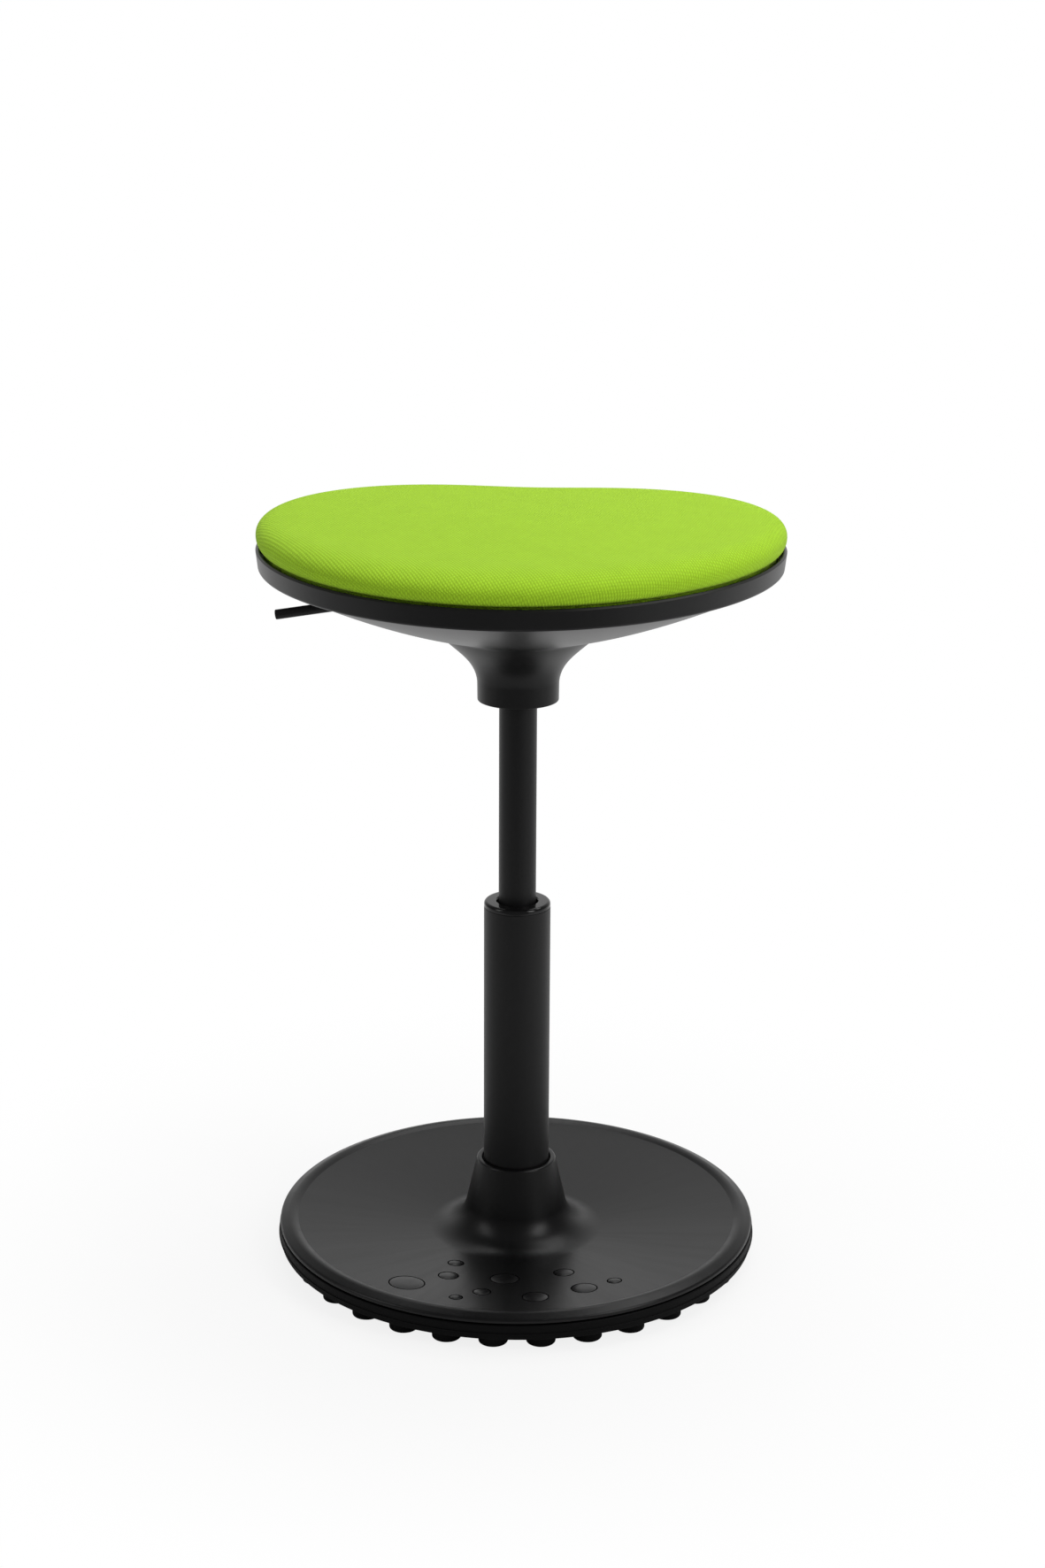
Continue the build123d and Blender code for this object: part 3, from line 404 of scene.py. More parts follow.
def lime_cloth(colours):
    """Woven cover, turned on the seat: rows of small raised beads, with shade painted into the gaps between
    them.
    """
    bead_pitch = 0.00218
    row_pitch = 0.00297
    cloth_turn = math.radians(28.0)
    bead_height = 0.10
    row_height = 0.055
    ground_height = 0.46
    sheen_tint = (0.85, 1.0, 0.45, 1.0)
    finish = Finish(
        "lime_cloth", colours.cloth, roughness=0.92,
        Specular_IOR_Level=0.18, Sheen_Weight=0.12, Sheen_Roughness=0.45, Sheen_Tint=sheen_tint,
    )
    spread = finish.node("ShaderNodeUVMap", {"uv_map": "weave"})
    along, across, _ = finish.axes(spread)
    warp = along * math.cos(cloth_turn) + across * math.sin(cloth_turn)
    weft = along * math.sin(cloth_turn) - across * math.cos(cloth_turn)
    wander = finish.noise(spread, scale=240.0)
    beads = warp * (2 * math.pi / bead_pitch) + wander * 1.2
    rows = weft * (2 * math.pi / row_pitch) + wander * 1.2
    in_bead, in_row, in_both = (finish.maths("COSINE", run) for run in (beads, rows, beads + rows))
    crossing = in_bead * bead_height + in_row * row_height + in_both * row_height + ground_height
    fuzz = finish.noise(spread, scale=2600.0, rough=0.7)
    patch = finish.noise(spread, scale=32.0, detail=3.0, rough=0.55)
    slub = finish.noise(finish.vector(warp * 150.0, weft * 560.0, 0.0), scale=1.0)
    raised = finish.ramp(crossing + (fuzz - 0.5) * 0.40, low=0.04, high=0.62)
    yarn = finish.blend(patch * 0.4 + slub * 0.6, shade(colours.cloth, 0.84), shade(colours.cloth, 1.16))
    # Painted shade: where the weave lies low the colour goes to the darker gap green
    finish.drive("Base Color", finish.blend(raised, shade(colours.cloth_gap_shade, 1.0), yarn))
    finish.drive("Roughness", 0.98 - raised * 0.10)
    finish.bump(crossing + fuzz * 0.15 + slub * 0.2, distance=0.0009, strength=0.9)
    return finish.material


def satin_pan(colours):
    """Moulded pan: satin black with a very fine spark texture."""
    finish = Finish("satin_pan", colours.pan, roughness=0.36, Specular_IOR_Level=0.22)
    place = finish.place()
    grain = finish.noise(place, scale=2200.0)
    cloud = finish.noise(place, scale=14.0, detail=3.0)
    finish.tint(cloud, colours.pan, dark=0.88, light=1.15)
    finish.drive("Roughness", 0.31 + cloud * 0.06 + grain * 0.04)
    finish.bump(grain, distance=0.00003, strength=0.5)
    return finish.material


def column_paint(colours):
    """Powder coat on the tubes: matte black with a faint orange peel."""
    finish = Finish("column_paint", colours.paint, roughness=0.46, Specular_IOR_Level=0.26)
    place = finish.place()
    peel = finish.noise(place, scale=900.0)
    speck = finish.noise(place, scale=3500.0, detail=1.0)
    cloud = finish.noise(place, scale=9.0)
    finish.tint(cloud, colours.paint, dark=0.9, light=1.12)
    finish.drive("Roughness", 0.42 + speck * 0.08)
    finish.bump(peel + speck * 0.6, distance=0.00004, strength=0.6)
    return finish.material


def gloss_collar(colours):
    """Glossy bush at the tube's mouth, with faint turning marks."""
    finish = Finish("gloss_collar", colours.collar, roughness=0.14, Specular_IOR_Level=0.3)
    east, north, up = finish.axes(finish.place())
    around = finish.maths("SQRT", east * east + north * north)
    marks = finish.noise(finish.vector(around, up, 0.0), scale=1500.0)
    cloud = finish.noise(finish.place(), scale=60.0)
    finish.tint(cloud, colours.collar, dark=0.9, light=1.2)
    finish.drive("Roughness", 0.10 + marks * 0.07)
    finish.bump(marks, distance=0.00001, strength=0.4)
    return finish.material


def charcoal_dish(colours):
    """Foot moulding: matte charcoal, faint flow marks from the hub, scuffs on the rim."""
    finish = Finish("charcoal_dish", colours.dish, roughness=0.34, Specular_IOR_Level=0.26)
    place = finish.place()
    east, north, up = finish.axes(place)
    out = finish.maths("SQRT", east * east + north * north)
    safe = finish.maths("MAXIMUM", out, 0.001)
    rays = finish.vector(east / safe * 9.0, north / safe * 9.0, out * 5.0)
    flow = finish.noise(rays, scale=1.6, detail=3.0, rough=0.6)
    grain = finish.noise(place, scale=2600.0)
    cloud = finish.noise(place, scale=11.0, detail=3.0)
    rubbed = finish.vector(east * 340.0, north * 340.0, up * 900.0)
    scratch = finish.noise(rubbed, scale=1.0, detail=3.0, rough=0.7)
    patch = finish.ramp(finish.noise(place, scale=16.0), low=0.50, high=0.66)
    on_rim = finish.ramp(out, low=0.166, high=0.174) * patch
    scuff = finish.ramp(scratch, low=0.60, high=0.74) * on_rim
    tone = finish.blend(flow * 0.6 + cloud * 0.4, shade(colours.dish, 0.76), shade(colours.dish, 1.28))
    finish.drive("Base Color", finish.blend(scuff * 0.55, tone, shade(colours.dish, 5.0)))
    finish.drive("Roughness", 0.23 + flow * 0.16 + grain * 0.05 + scuff * 0.1)
    finish.bump(grain + scratch * on_rim * 0.8, distance=0.00005, strength=0.55)
    return finish.material


def black_rubber(colours):
    """Sole and stops: dull rubber with moulding grain and a little dust."""
    finish = Finish("black_rubber", colours.rubber, roughness=0.50, Specular_IOR_Level=0.09)
    place = finish.place()
    grain = finish.noise(place, scale=1800.0)
    dust = finish.ramp(finish.noise(place, scale=120.0, detail=4.0, rough=0.7), low=0.55, high=0.8)
    finish.tint(dust * 0.4, colours.rubber, dark=1.0, light=3.0)
    finish.drive("Roughness", 0.44 + grain * 0.16)
    finish.bump(grain, distance=0.00005, strength=0.6)
    return finish.material


def bare_metal(colours, name, tone, roughness, spread, scale):
    """Metal with a fine grain in its gloss."""
    base = getattr(colours, tone)
    finish = Finish(name, base, roughness, Metallic=1.0)
    place = finish.place()
    grain = finish.noise(place, scale=scale, detail=3.0, rough=0.6)
    cloud = finish.noise(place, scale=40.0)
    finish.tint(cloud, base, dark=0.86, light=1.06)
    finish.drive("Roughness", roughness - spread * 0.5 + grain * spread)
    finish.bump(grain, distance=0.00002, strength=0.5)
    return finish.material


def raw_casting(colours):
    """Sand cast iron with a dull skin."""
    finish = Finish("raw_casting", colours.iron, roughness=0.72, Metallic=0.4)
    place = finish.place()
    pits = finish.noise(place, scale=420.0, detail=4.0, rough=0.65)
    finish.tint(pits, colours.iron, dark=0.6, light=1.3)
    finish.drive("Roughness", 0.62 + pits * 0.25)
    finish.bump(pits, distance=0.0003, strength=0.7)
    return finish.material


def birch_plywood(colours):
    """Plywood with long grain and layers at its edge."""
    layer = 0.0028
    finish = Finish("birch_plywood", colours.plywood, roughness=0.60)
    east, north, up = finish.axes(finish.place())
    fibres = finish.vector(east * 8.0, north * 160.0, up * 160.0)
    grain = finish.noise(fibres, scale=1.0, detail=4.0, rough=0.6)
    layers = finish.maths("SINE", up * (2 * math.pi / layer))
    tone = finish.blend(grain, shade(colours.plywood, 0.78), shade(colours.plywood, 1.15))
    finish.drive("Base Color", finish.blend(layers * 0.15 + 0.15, tone, shade(colours.plywood, 0.55)))
    finish.drive("Roughness", 0.5 + grain * 0.2)
    finish.bump(grain, distance=0.0002, strength=0.4)
    return finish.material


def open_foam(colours):
    """Open cell foam."""
    finish = Finish("open_foam", colours.foam, roughness=0.95)
    place = finish.place()
    cells = finish.node("ShaderNodeTexVoronoi", inputs={"Vector": place, "Scale": 700.0})
    finish.tint(cells, colours.foam, dark=0.75, light=1.05)
    finish.bump(cells, distance=0.0004, strength=0.7)
    return finish.material


FINISH_MAKERS = {
    "green_fabric": lime_cloth,
    "pan_plastic": satin_pan,
    "black_steel": column_paint,
    "bush_plastic": gloss_collar,
    "foot_plastic": charcoal_dish,
    "sole_rubber": black_rubber,
    "cast_iron": raw_casting,
    "plywood": birch_plywood,
    "foam": open_foam,
}
# Bare metals: name of the finish, its colour, roughness, how far that varies, scale of the grain
METALS = {
    "zinc_steel": ("zinc_plate", "zinc", 0.36, 0.20, 700.0),
    "polished_steel": ("ground_steel", "steel", 0.14, 0.08, 1600.0),
    "aluminium": ("turned_aluminium", "aluminium", 0.30, 0.16, 1100.0),
    "brass": ("yellow_brass", "brass", 0.30, 0.14, 900.0),
}
finishes = {}


def finish_for(slot):
    """The material of one of the record's slots, made once."""
    if slot not in finishes:
        colours = bpy.context.scene.stool_colours
        if slot in METALS:
            finishes[slot] = bare_metal(colours, *METALS[slot])
        else:
            finishes[slot] = FINISH_MAKERS[slot](colours)
    return finishes[slot]


def outline_radius(seat, angle):
    """Distance from the column to the rim's outer face, with the angle counted from the nose."""
    return sum(term * math.cos(order * angle) for order, term in enumerate(seat.outline))


def round_point(distance, angle, height):
    """Point at a distance from the column, with the angle counted from the nose towards +X."""
    return (distance * math.sin(angle), -distance * math.cos(angle), height)


def corner_arc(before, corner, after, radius, steps):
    """Points of the arc that rounds a corner of a profile."""
    here = Vector(corner)
    back = (Vector(before) - here).normalized()
    ahead = (Vector(after) - here).normalized()
    half = back.angle(ahead) / 2
    centre = here + (back + ahead).normalized() * (radius / math.sin(half))
    first = here + back * (radius / math.tan(half)) - centre
    last = here + ahead * (radius / math.tan(half)) - centre
    sweep = first.angle(last)
    points = []
    for step in range(steps + 1):
        share = step / steps
        lean = first * math.sin((1 - share) * sweep) + last * math.sin(share * sweep)
        points.append(centre + lean / math.sin(sweep))
    return points


def rounded_path(corners):
    """Closed profile from (distance, height, rounding) corners, each rounding drawn as a short arc."""
    path = []
    for index, (distance, height, rounding) in enumerate(corners):
        if rounding == 0:
            path.append(Vector((distance, height)))
            continue
        before = corners[index - 1][:2]
        after = corners[(index + 1) % len(corners)][:2]
        path += corner_arc(before, (distance, height), after, rounding, ROUNDING_STEPS)
    return path


def rounded_end(radius, edge):
    """Profile of a round bar's end, from its middle to its full radius."""
    path = [(0.0, 0.0)]
    for step in range(ROUNDING_STEPS + 1):
        lean = math.pi / 2 * step / ROUNDING_STEPS
        path.append((radius - edge + edge * math.sin(lean), edge - edge * math.cos(lean)))
    return path


def ring_mesh(name, path_at, segments, closed=True):
    """Mesh round the column from a profile for each angle; an open profile starts and ends on the axis."""
    paths = [path_at(2 * math.pi * step / segments) for step in range(segments)]
    points = []
    faces = []
    count = len(paths[0])
    for step, path in enumerate(paths):
        angle = 2 * math.pi * step / segments
        points += [round_point(distance, angle, height) for distance, height in path]
        after = (step + 1) % segments
        for index in range(count if closed else count - 1):
            beyond = (index + 1) % count
            faces.append((
                step * count + index, step * count + beyond, after * count + beyond, after * count + index,
            ))
    mesh = bpy.data.meshes.new(name)
    mesh.from_pydata(points, [], faces)
    tidy = bmesh.new()
    tidy.from_mesh(mesh)
    bmesh.ops.remove_doubles(tidy, verts=tidy.verts, dist=1e-7)
    bmesh.ops.recalc_face_normals(tidy, faces=tidy.faces)
    tidy.to_mesh(mesh)
    tidy.free()
    mesh.shade_smooth()
    return mesh


def turned_mesh(name, corners, segments=160):
    """Mesh turned about the column from one closed profile with rounded corners."""
    path = rounded_path(corners)
    return ring_mesh(name, lambda angle: path, segments)


def solid_mesh(name, path, segments):
    """Mesh turned about the column from one profile that starts and ends on the axis."""
    return ring_mesh(name, lambda angle: path, segments, closed=False)


def plain_object(name, mesh):
    """Put a mesh into the scene."""
    made = bpy.data.objects.new(name, mesh)
    bpy.context.scene.collection.objects.link(made)
    return made


def evaluated_mesh(made):
    """Plain mesh of an object with its modifiers applied."""
    graph = bpy.context.evaluated_depsgraph_get()
    graph.update()
    return bpy.data.meshes.new_from_object(made.evaluated_get(graph), depsgraph=graph)


def drop(*objects):
    """Take helper objects out of the file."""
    for helper in objects:
        mesh = helper.data
        bpy.data.objects.remove(helper)
        bpy.data.meshes.remove(mesh)


def cut_mesh(mesh, cutter_mesh):
    """Mesh with another one cut out of it."""
    body = plain_object("cut_body", mesh)
    cutter = plain_object("cut_tool", cutter_mesh)
    boolean = body.modifiers.new("cut", "BOOLEAN")
    boolean.operation = "DIFFERENCE"
    boolean.solver = "EXACT"
    boolean.object = cutter
    result = evaluated_mesh(body)
    drop(body, cutter)
    if len(result.polygons) == 0:
        raise RuntimeError("the cut left nothing of " + result.name)
    return result


def mesh_from(name, form):
    """Plain mesh from a form that is done with."""
    mesh = bpy.data.meshes.new(name)
    form.to_mesh(mesh)
    form.free()
    return mesh


def joined(meshes):
    """One mesh from several."""
    together = bmesh.new()
    for mesh in meshes:
        together.from_mesh(mesh)
    return mesh_from("joined", together)


def placed(mesh, matrix):
    """Move a mesh's points and return it."""
    mesh.transform(matrix)
    return mesh


def round_cutter(radius, depth, sides, matrix):
    """Drum that cuts a round hole, put in its place."""
    drum = bmesh.new()
    bmesh.ops.create_cone(drum, cap_ends=True, segments=sides, radius1=radius, radius2=radius, depth=depth)
    return placed(mesh_from("cutter", drum), matrix)


def add_piece(name, mesh, body, slot, stands_for=(), even=True, sharp=None):
    """Finished piece in its finish, riding on its body; edges over the sharp angle stay crisp."""
    mesh.name = name
    if sharp is not None:
        mesh.shade_smooth()
        mesh.set_sharp_from_angle(angle=math.radians(sharp))
    mesh.materials.clear()
    mesh.materials.append(finish_for(slot))
    made = plain_object(name, mesh)
    if even:
        made.modifiers.new("even_normals", "WEIGHTED_NORMAL").keep_sharp = True
    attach(made, body)
    if stands_for:
        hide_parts(*stands_for)
    return made


def geometry_tree(name, inputs):
    """New geometry node tree and its inputs by name."""
    tree = bpy.data.node_groups.new(name, "GeometryNodeTree")
    tree.interface.new_socket(name="Geometry", in_out="INPUT", socket_type="NodeSocketGeometry")
    for label, kind in inputs:
        tree.interface.new_socket(name=label, in_out="INPUT", socket_type=kind)
    tree.interface.new_socket(name="Geometry", in_out="OUTPUT", socket_type="NodeSocketGeometry")
    canvas = Canvas(tree)
    outputs = canvas.node("NodeGroupInput").socket.node.outputs
    return canvas, {socket.name: Flow(canvas, socket) for socket in outputs if socket.name}


def close_tree(canvas, instances, material):
    """End a tree with real geometry in one finish."""
    solid = canvas.node("GeometryNodeRealizeInstances", inputs={0: instances})
    dressed = canvas.node("GeometryNodeSetMaterial", inputs={"Geometry": solid, "Material": material})
    canvas.node("NodeGroupOutput", inputs={0: dressed})
    return canvas.tree


def round_row_tree():
    """Copies of one piece, evenly spaced on a circle."""
    canvas, given = geometry_tree("round_row", (
        ("Piece", "NodeSocketObject"), ("Count", "NodeSocketInt"), ("Ring radius", "NodeSocketFloat"),
        ("Start angle", "NodeSocketFloat"), ("Material", "NodeSocketMaterial"),
    ))
    circle = canvas.node(
        "GeometryNodeMeshCircle",
        inputs={"Vertices": given["Count"], "Radius": given["Ring radius"]},
    )
    angle = canvas.vector(0.0, 0.0, given["Start angle"])
    started = canvas.node("GeometryNodeTransform", inputs={"Geometry": circle, "Rotation": angle})
    piece = canvas.node("GeometryNodeObjectInfo", inputs={"Object": given["Piece"]}, output="Geometry")
    row = canvas.node("GeometryNodeInstanceOnPoints", inputs={"Points": started, "Instance": piece})
    return close_tree(canvas, row, given["Material"])


def scatter_tree():
    """Copies of one piece on the points of a mesh, sized and turned by the points' own values."""
    canvas, given = geometry_tree("scatter", (
        ("Piece", "NodeSocketObject"), ("Height", "NodeSocketFloat"), ("Material", "NodeSocketMaterial"),
    ))
    size = canvas.node("GeometryNodeInputNamedAttribute", {"data_type": "FLOAT"}, {"Name": "size"})
    lean = canvas.node("GeometryNodeInputNamedAttribute", {"data_type": "FLOAT_VECTOR"}, {"Name": "lean"})
    scale = canvas.vector(size, size, given["Height"])
    angle = canvas.node("FunctionNodeEulerToRotation", inputs={0: lean})
    piece = canvas.node("GeometryNodeObjectInfo", inputs={"Object": given["Piece"]}, output="Geometry")
    spread = canvas.node(
        "GeometryNodeInstanceOnPoints",
        inputs={"Points": given["Geometry"], "Instance": piece, "Rotation": angle, "Scale": scale},
    )
    return close_tree(canvas, spread, given["Material"])


def grown_mesh(host_mesh, tree, values):
    """Plain mesh that a geometry node tree makes from its named inputs."""
    host = plain_object("grown_host", host_mesh)
    modifier = host.modifiers.new("grow", "NODES")
    modifier.node_group = tree
    for item in tree.interface.items_tree:
        if item.item_type == "SOCKET" and item.in_out == "INPUT" and item.name in values:
            modifier[item.identifier] = values[item.name]
    host.update_tag()
    result = evaluated_mesh(host)
    drop(host)
    if len(result.polygons) == 0:
        raise RuntimeError("the tree " + tree.name + " made nothing")
    return result


class STOOL_OT_seat_pan(bpy.types.Operator):
    """Black moulded pan: rim band, underside and trumpet neck, with the lever's slot and the screw holes"""

    bl_idname = "stool.seat_pan"
    bl_label = "Seat pan"
    segments = 240
    underside_steps = 14
    flare_steps = 16
    # Handles of the flare's curve: length at the crease, length at the neck, fall at the crease
    flare_out = 0.0223
    flare_up = 0.0189
    flare_lean = 0.95
    # Roundings of the profile's edges
    line_edge = 0.0003
    lip_edge = 0.0004
    neck_edge = 0.0008
    # Width of the band's foot up to the dark line, in roundings of that foot
    foot_reach = 1.5
    # Rounding of the lever slot's ends, as a share of its width
    slot_rounding = 0.45
    slot_steps = 6
    well_sides = 40
    sharp = 38

    def execute(self, context):
        seat = context.scene.stool_seat
        neck_end = pan_low.z
        rim_top = pan_high.z
        rim_foot = rim_top - seat.rim_height
        crease = neck_end + seat.crease_rise
        share = seat.underside_mid
        bend = (seat.underside_mid_rise - seat.underside_rise * share) / (share * share - share)
        lean = Vector((-1.0, -self.flare_lean)).normalized()

        def underside(portion):
            return crease + (seat.underside_rise - bend) * portion + bend * portion * portion

        def flare(drop_in, raise_in):
            ends = (
                Vector((seat.crease_radius - drop_in, crease + raise_in)),
                Vector((seat.neck_radius - drop_in, neck_end + seat.neck_straight)),
            )
            handles = (ends[0] + lean * self.flare_out, ends[1] + Vector((0, self.flare_up)))
            points = []
            for step in range(self.flare_steps):
                t = step / self.flare_steps
                points.append(
                    ends[0] * (1 - t) ** 3 + handles[0] * (3 * t * (1 - t) ** 2)
                    + handles[1] * (3 * t * t * (1 - t)) + ends[1] * t ** 3
                )
            return points

        def profile(angle):
            rim = outline_radius(seat, angle)
            ledge = rim_top - seat.ledge_depth
            inner = rim - seat.rim_wall - seat.ledge_width
            band_foot = rim - seat.rim_draft
            groove_edge = band_foot - self.foot_reach * seat.rim_foot
            under_edge = groove_edge - seat.rim_groove
            span = under_edge - seat.crease_radius
            outside = [(point.x, point.y, 0) for point in reversed(flare(0, 0)[1:])]
            outside.append((seat.crease_radius, crease, seat.crease_edge))
            for step in range(1, self.underside_steps):
                portion = step / self.underside_steps
                outside.append((seat.crease_radius + span * portion, underside(portion), 0))
            inside = []
            inner_span = inner - seat.crease_radius + seat.neck_wall
            for step in range(1, self.underside_steps):
                portion = 1 - step / self.underside_steps
                distance = seat.crease_radius - seat.neck_wall + inner_span * portion
                inside.append((distance, underside(portion) + seat.pan_wall, 0))
            inside += [(point.x, point.y, 0) for point in flare(seat.neck_wall, seat.pan_wall)]
            return rounded_path(
                [(seat.neck_hole, neck_end, self.lip_edge), (seat.neck_radius, neck_end, self.neck_edge)]
                + outside
                + [
                    (under_edge, underside(1.0), self.line_edge),
                    (under_edge, rim_foot + seat.rim_groove_depth, 0),
                    (groove_edge, rim_foot + seat.rim_groove_depth, 0),
                    (groove_edge, rim_foot, self.line_edge),
                    (band_foot, rim_foot, seat.rim_foot),
                    (rim, rim_top - seat.rim_bevel, self.line_edge),
                    (rim - seat.rim_bevel, rim_top, self.line_edge),
                    (rim - seat.rim_wall, rim_top, self.lip_edge),
                    (rim - seat.rim_wall, ledge, 0),
                    (inner, ledge, 0),
                ]
                + inside
                + [
                    (seat.neck_radius - seat.neck_wall, neck_end + seat.neck_wall, 0),
                    (seat.neck_hole, neck_end + seat.neck_wall, 0),
                ]
            )

        shell = ring_mesh("pan_shell", profile, self.segments)
        depth = rim_foot - crease
        slot_length = seat.slot_outer - seat.slot_inner
        slot = bmesh.new()
        bmesh.ops.create_cube(slot, size=1.0)
        upright = [edge for edge in slot.edges if abs(edge.verts[0].co.z - edge.verts[1].co.z) > 0.5]
        bmesh.ops.scale(slot, verts=slot.verts, vec=(slot_length, seat.slot_width, 2 * depth))
        rounding = seat.slot_width * self.slot_rounding
        bmesh.ops.bevel(slot, geom=upright, offset=rounding, segments=self.slot_steps, affect="EDGES")
        middle = -(seat.slot_outer + seat.slot_inner) / 2
        tools = [placed(mesh_from("slot_tool", slot), Matrix.Translation((middle, 0, rim_foot - depth)))]
        well_top = pan_screw_low.z + context.scene.stool_foot.pan_screw_height
        for degrees in PAN_SCREW_ANGLES:
            spot = Matrix.Rotation(math.radians(degrees), 4, "Z") @ Vector((PAN_SCREW_RING, 0, 0))
            there = Matrix.Translation((spot.x, spot.y, well_top - depth / 2))
            tools.append(round_cutter(seat.screw_hole, depth, self.well_sides, there))
        shell = cut_mesh(shell, joined(tools))
        add_piece("seat_pan_shell", shell, "seat", "pan_plastic", ("seat_pan",), sharp=self.sharp)
        return {"FINISHED"}


class STOOL_OT_seat_pad(bpy.types.Operator):
    """Green padded cover over the board, swollen by its stuffing, with its hem inside the rim"""

    bl_idname = "stool.seat_pad"
    bl_label = "Seat pad"
    segments = 224
    roll_steps = 16
    tuck_steps = 10
    top_steps = 34
    base_steps = 14
    squareness = 2.2
    # The cloth simulation: grid size, frames, steps in each, height that stays held, pressure, stiffness
    voxel = 0.005
    frames = 20
    quality = 6
    held_height = 0.004
    pressure = 4.0
    stretch = 40.0
    shear = 20.0
    # How the swell is taken over: rounds of smoothing, share of it that may sink in, fade towards the sides
    smoothing = 10
    sink = 0.2
    free_lean = 1.4
    # The cloth's roll for the weave: radius in shoulder widths, its middle below the widest line in radii
    weave_roll = 0.5
    weave_sink = 0.2
    # The hem inside the rim: wall, height over the board's top, rounding
    hem_wall = 0.0011
    hem_lap = 0.001
    hem_edge = 0.0003

    def pad_path(self, seat, angle):
        """Pad profile from the crown's middle over the roll and back under to the middle."""
        rim = outline_radius(seat, angle)
        widest = rim - seat.pad_inset
        nose = max(0.0, math.cos(angle)) ** 2
        reach_in = seat.pad_shoulder + seat.pad_waterfall * nose
        shoulder = widest - reach_in
        seam = board_high.z
        belly = seam + seat.pad_belly - seat.pad_nose_drop * nose
        rise = seat.pad_rise + seat.pad_nose_drop * nose

        def top(distance, fullness):
            return belly + fullness * (rise + seat.pad_crown * (1 - (distance / rim) ** 2))

        path = []
        for step in range(self.top_steps + 1):
            distance = shoulder * step / self.top_steps
            path.append((distance, top(distance, 1.0)))
        for step in range(1, self.roll_steps + 1):
            lean = math.pi / 2 * step / self.roll_steps
            reach = math.sin(lean) ** (2 / self.squareness)
            fullness = max(0.0, math.cos(lean)) ** (2 / self.squareness)
            distance = shoulder + reach_in * reach
            path.append((distance, top(distance, fullness)))
        for step in range(1, self.tuck_steps + 1):
            lean = math.pi / 2 * step / self.tuck_steps
            height = belly - (belly - pan_high.z - seat.pad_gap) * math.sin(lean)
            path.append((widest - seat.pad_tuck * (1 - math.cos(lean)), height))
        board = rim - seat.board_inset
        path.append((widest - seat.pad_tuck, seam - seat.hem_depth))
        path.append((board, seam - seat.hem_depth))
        for step in range(self.base_steps + 1):
            path.append((board * (1 - step / self.base_steps), seam))
        return path

    def swollen_surface(self, mesh):
        """Surface of the pad's form after its stuffing has pushed the cloth out."""
        scene = bpy.context.scene
        seam = board_high.z
        rough = plain_object("pad_rough", mesh.copy())
        remesh = rough.modifiers.new("even", "REMESH")
        remesh.mode = "VOXEL"
        remesh.voxel_size = self.voxel
        even = evaluated_mesh(rough)
        drop(rough)
        cloth = plain_object("pad_cloth", even)
        held = cloth.vertex_groups.new(name="held")
        low = [point.index for point in even.vertices if point.co.z < seam + self.held_height]
        held.add(low, 1.0, "REPLACE")
        modifier = cloth.modifiers.new("cloth", "CLOTH")
        settings = modifier.settings
        settings.quality = self.quality
        settings.vertex_group_mass = held.name
        settings.use_pressure = True
        settings.uniform_pressure_force = self.pressure
        settings.effector_weights.gravity = 0.0
        settings.tension_stiffness = self.stretch
        settings.compression_stiffness = self.stretch
        settings.shear_stiffness = self.shear
        modifier.point_cache.frame_start = 1
        modifier.point_cache.frame_end = self.frames
        for step in range(1, self.frames + 1):
            scene.frame_set(step)
        swollen = evaluated_mesh(cloth)
        scene.frame_set(1)
        drop(cloth)
        tree = BVHTree.FromPolygons(
            [point.co.copy() for point in swollen.vertices],
            [tuple(face.vertices) for face in swollen.polygons],
        )
        bpy.data.meshes.remove(swollen)
        return tree

    def push(self, mesh, seat):
        """Move the form's points out to the swollen surface, evenly and within the cap."""
        surface = self.swollen_surface(mesh)
        cap = seat.pad_swell
        moves = []
        for point in mesh.vertices:
            start = point.co - point.normal * cap
            hit = surface.ray_cast(start, point.normal, 3 * cap)
            move = (hit[3] - cap) if hit[0] is not None else 0.0
            free = min(1.0, max(0.0, self.free_lean * point.normal.z))
            moves.append(min(cap, max(-self.sink * cap, move)) * free)
        near = [[] for _ in mesh.vertices]
        for edge in mesh.edges:
            first, last = edge.vertices
            near[first].append(last)
            near[last].append(first)
        for _ in range(self.smoothing):
            moves = [
                0.5 * moves[index] + 0.5 * sum(moves[other] for other in around) / len(around)
                for index, around in enumerate(near)
            ]
        normals = [point.normal.copy() for point in mesh.vertices]
        for point, normal, move in zip(mesh.vertices, normals, moves):
            point.co += normal * move

    def lay_weave(self, mesh, seat):
        """Give each corner its place on the unrolled cloth, in metres."""
        layer = mesh.uv_layers.new(name="weave")
        roll = seat.pad_shoulder * self.weave_roll
        belly = board_high.z + seat.pad_belly
        spots = []
        for point in mesh.vertices:
            angle = math.atan2(point.co.x, -point.co.y)
            distance = math.hypot(point.co.x, point.co.y)
            edge = outline_radius(seat, angle) - seat.pad_inset - roll
            run = distance
            if distance > edge:
                above = point.co.z - belly + roll * self.weave_sink
                lean = math.atan2(distance - edge, max(1e-6, above))
                if point.co.z < belly:
                    lean = math.pi / 2 + (belly - point.co.z) / roll
                run = edge + roll * lean
            spots.append((run * math.sin(angle), -run * math.cos(angle)))
        for corner in mesh.loops:
            layer.data[corner.index].uv = spots[corner.vertex_index]

    def execute(self, context):
        seat = context.scene.stool_seat
        form = ring_mesh("pad_form", lambda angle: self.pad_path(seat, angle), self.segments, closed=False)
        self.push(form, seat)
        self.lay_weave(form, seat)
        pad = add_piece("seat_pad", form, "seat", "green_fabric", ("seat_cover", "seat_foam"), even=False)
        lap = board_high.z + self.hem_lap

        def hem_path(angle):
            face = outline_radius(seat, angle) - seat.pad_inset - seat.pad_tuck
            back = face - self.hem_wall
            corners = ((face, cover_low.z), (face, lap), (back, lap), (back, cover_low.z))
            return rounded_path([corner + (self.hem_edge,) for corner in corners])

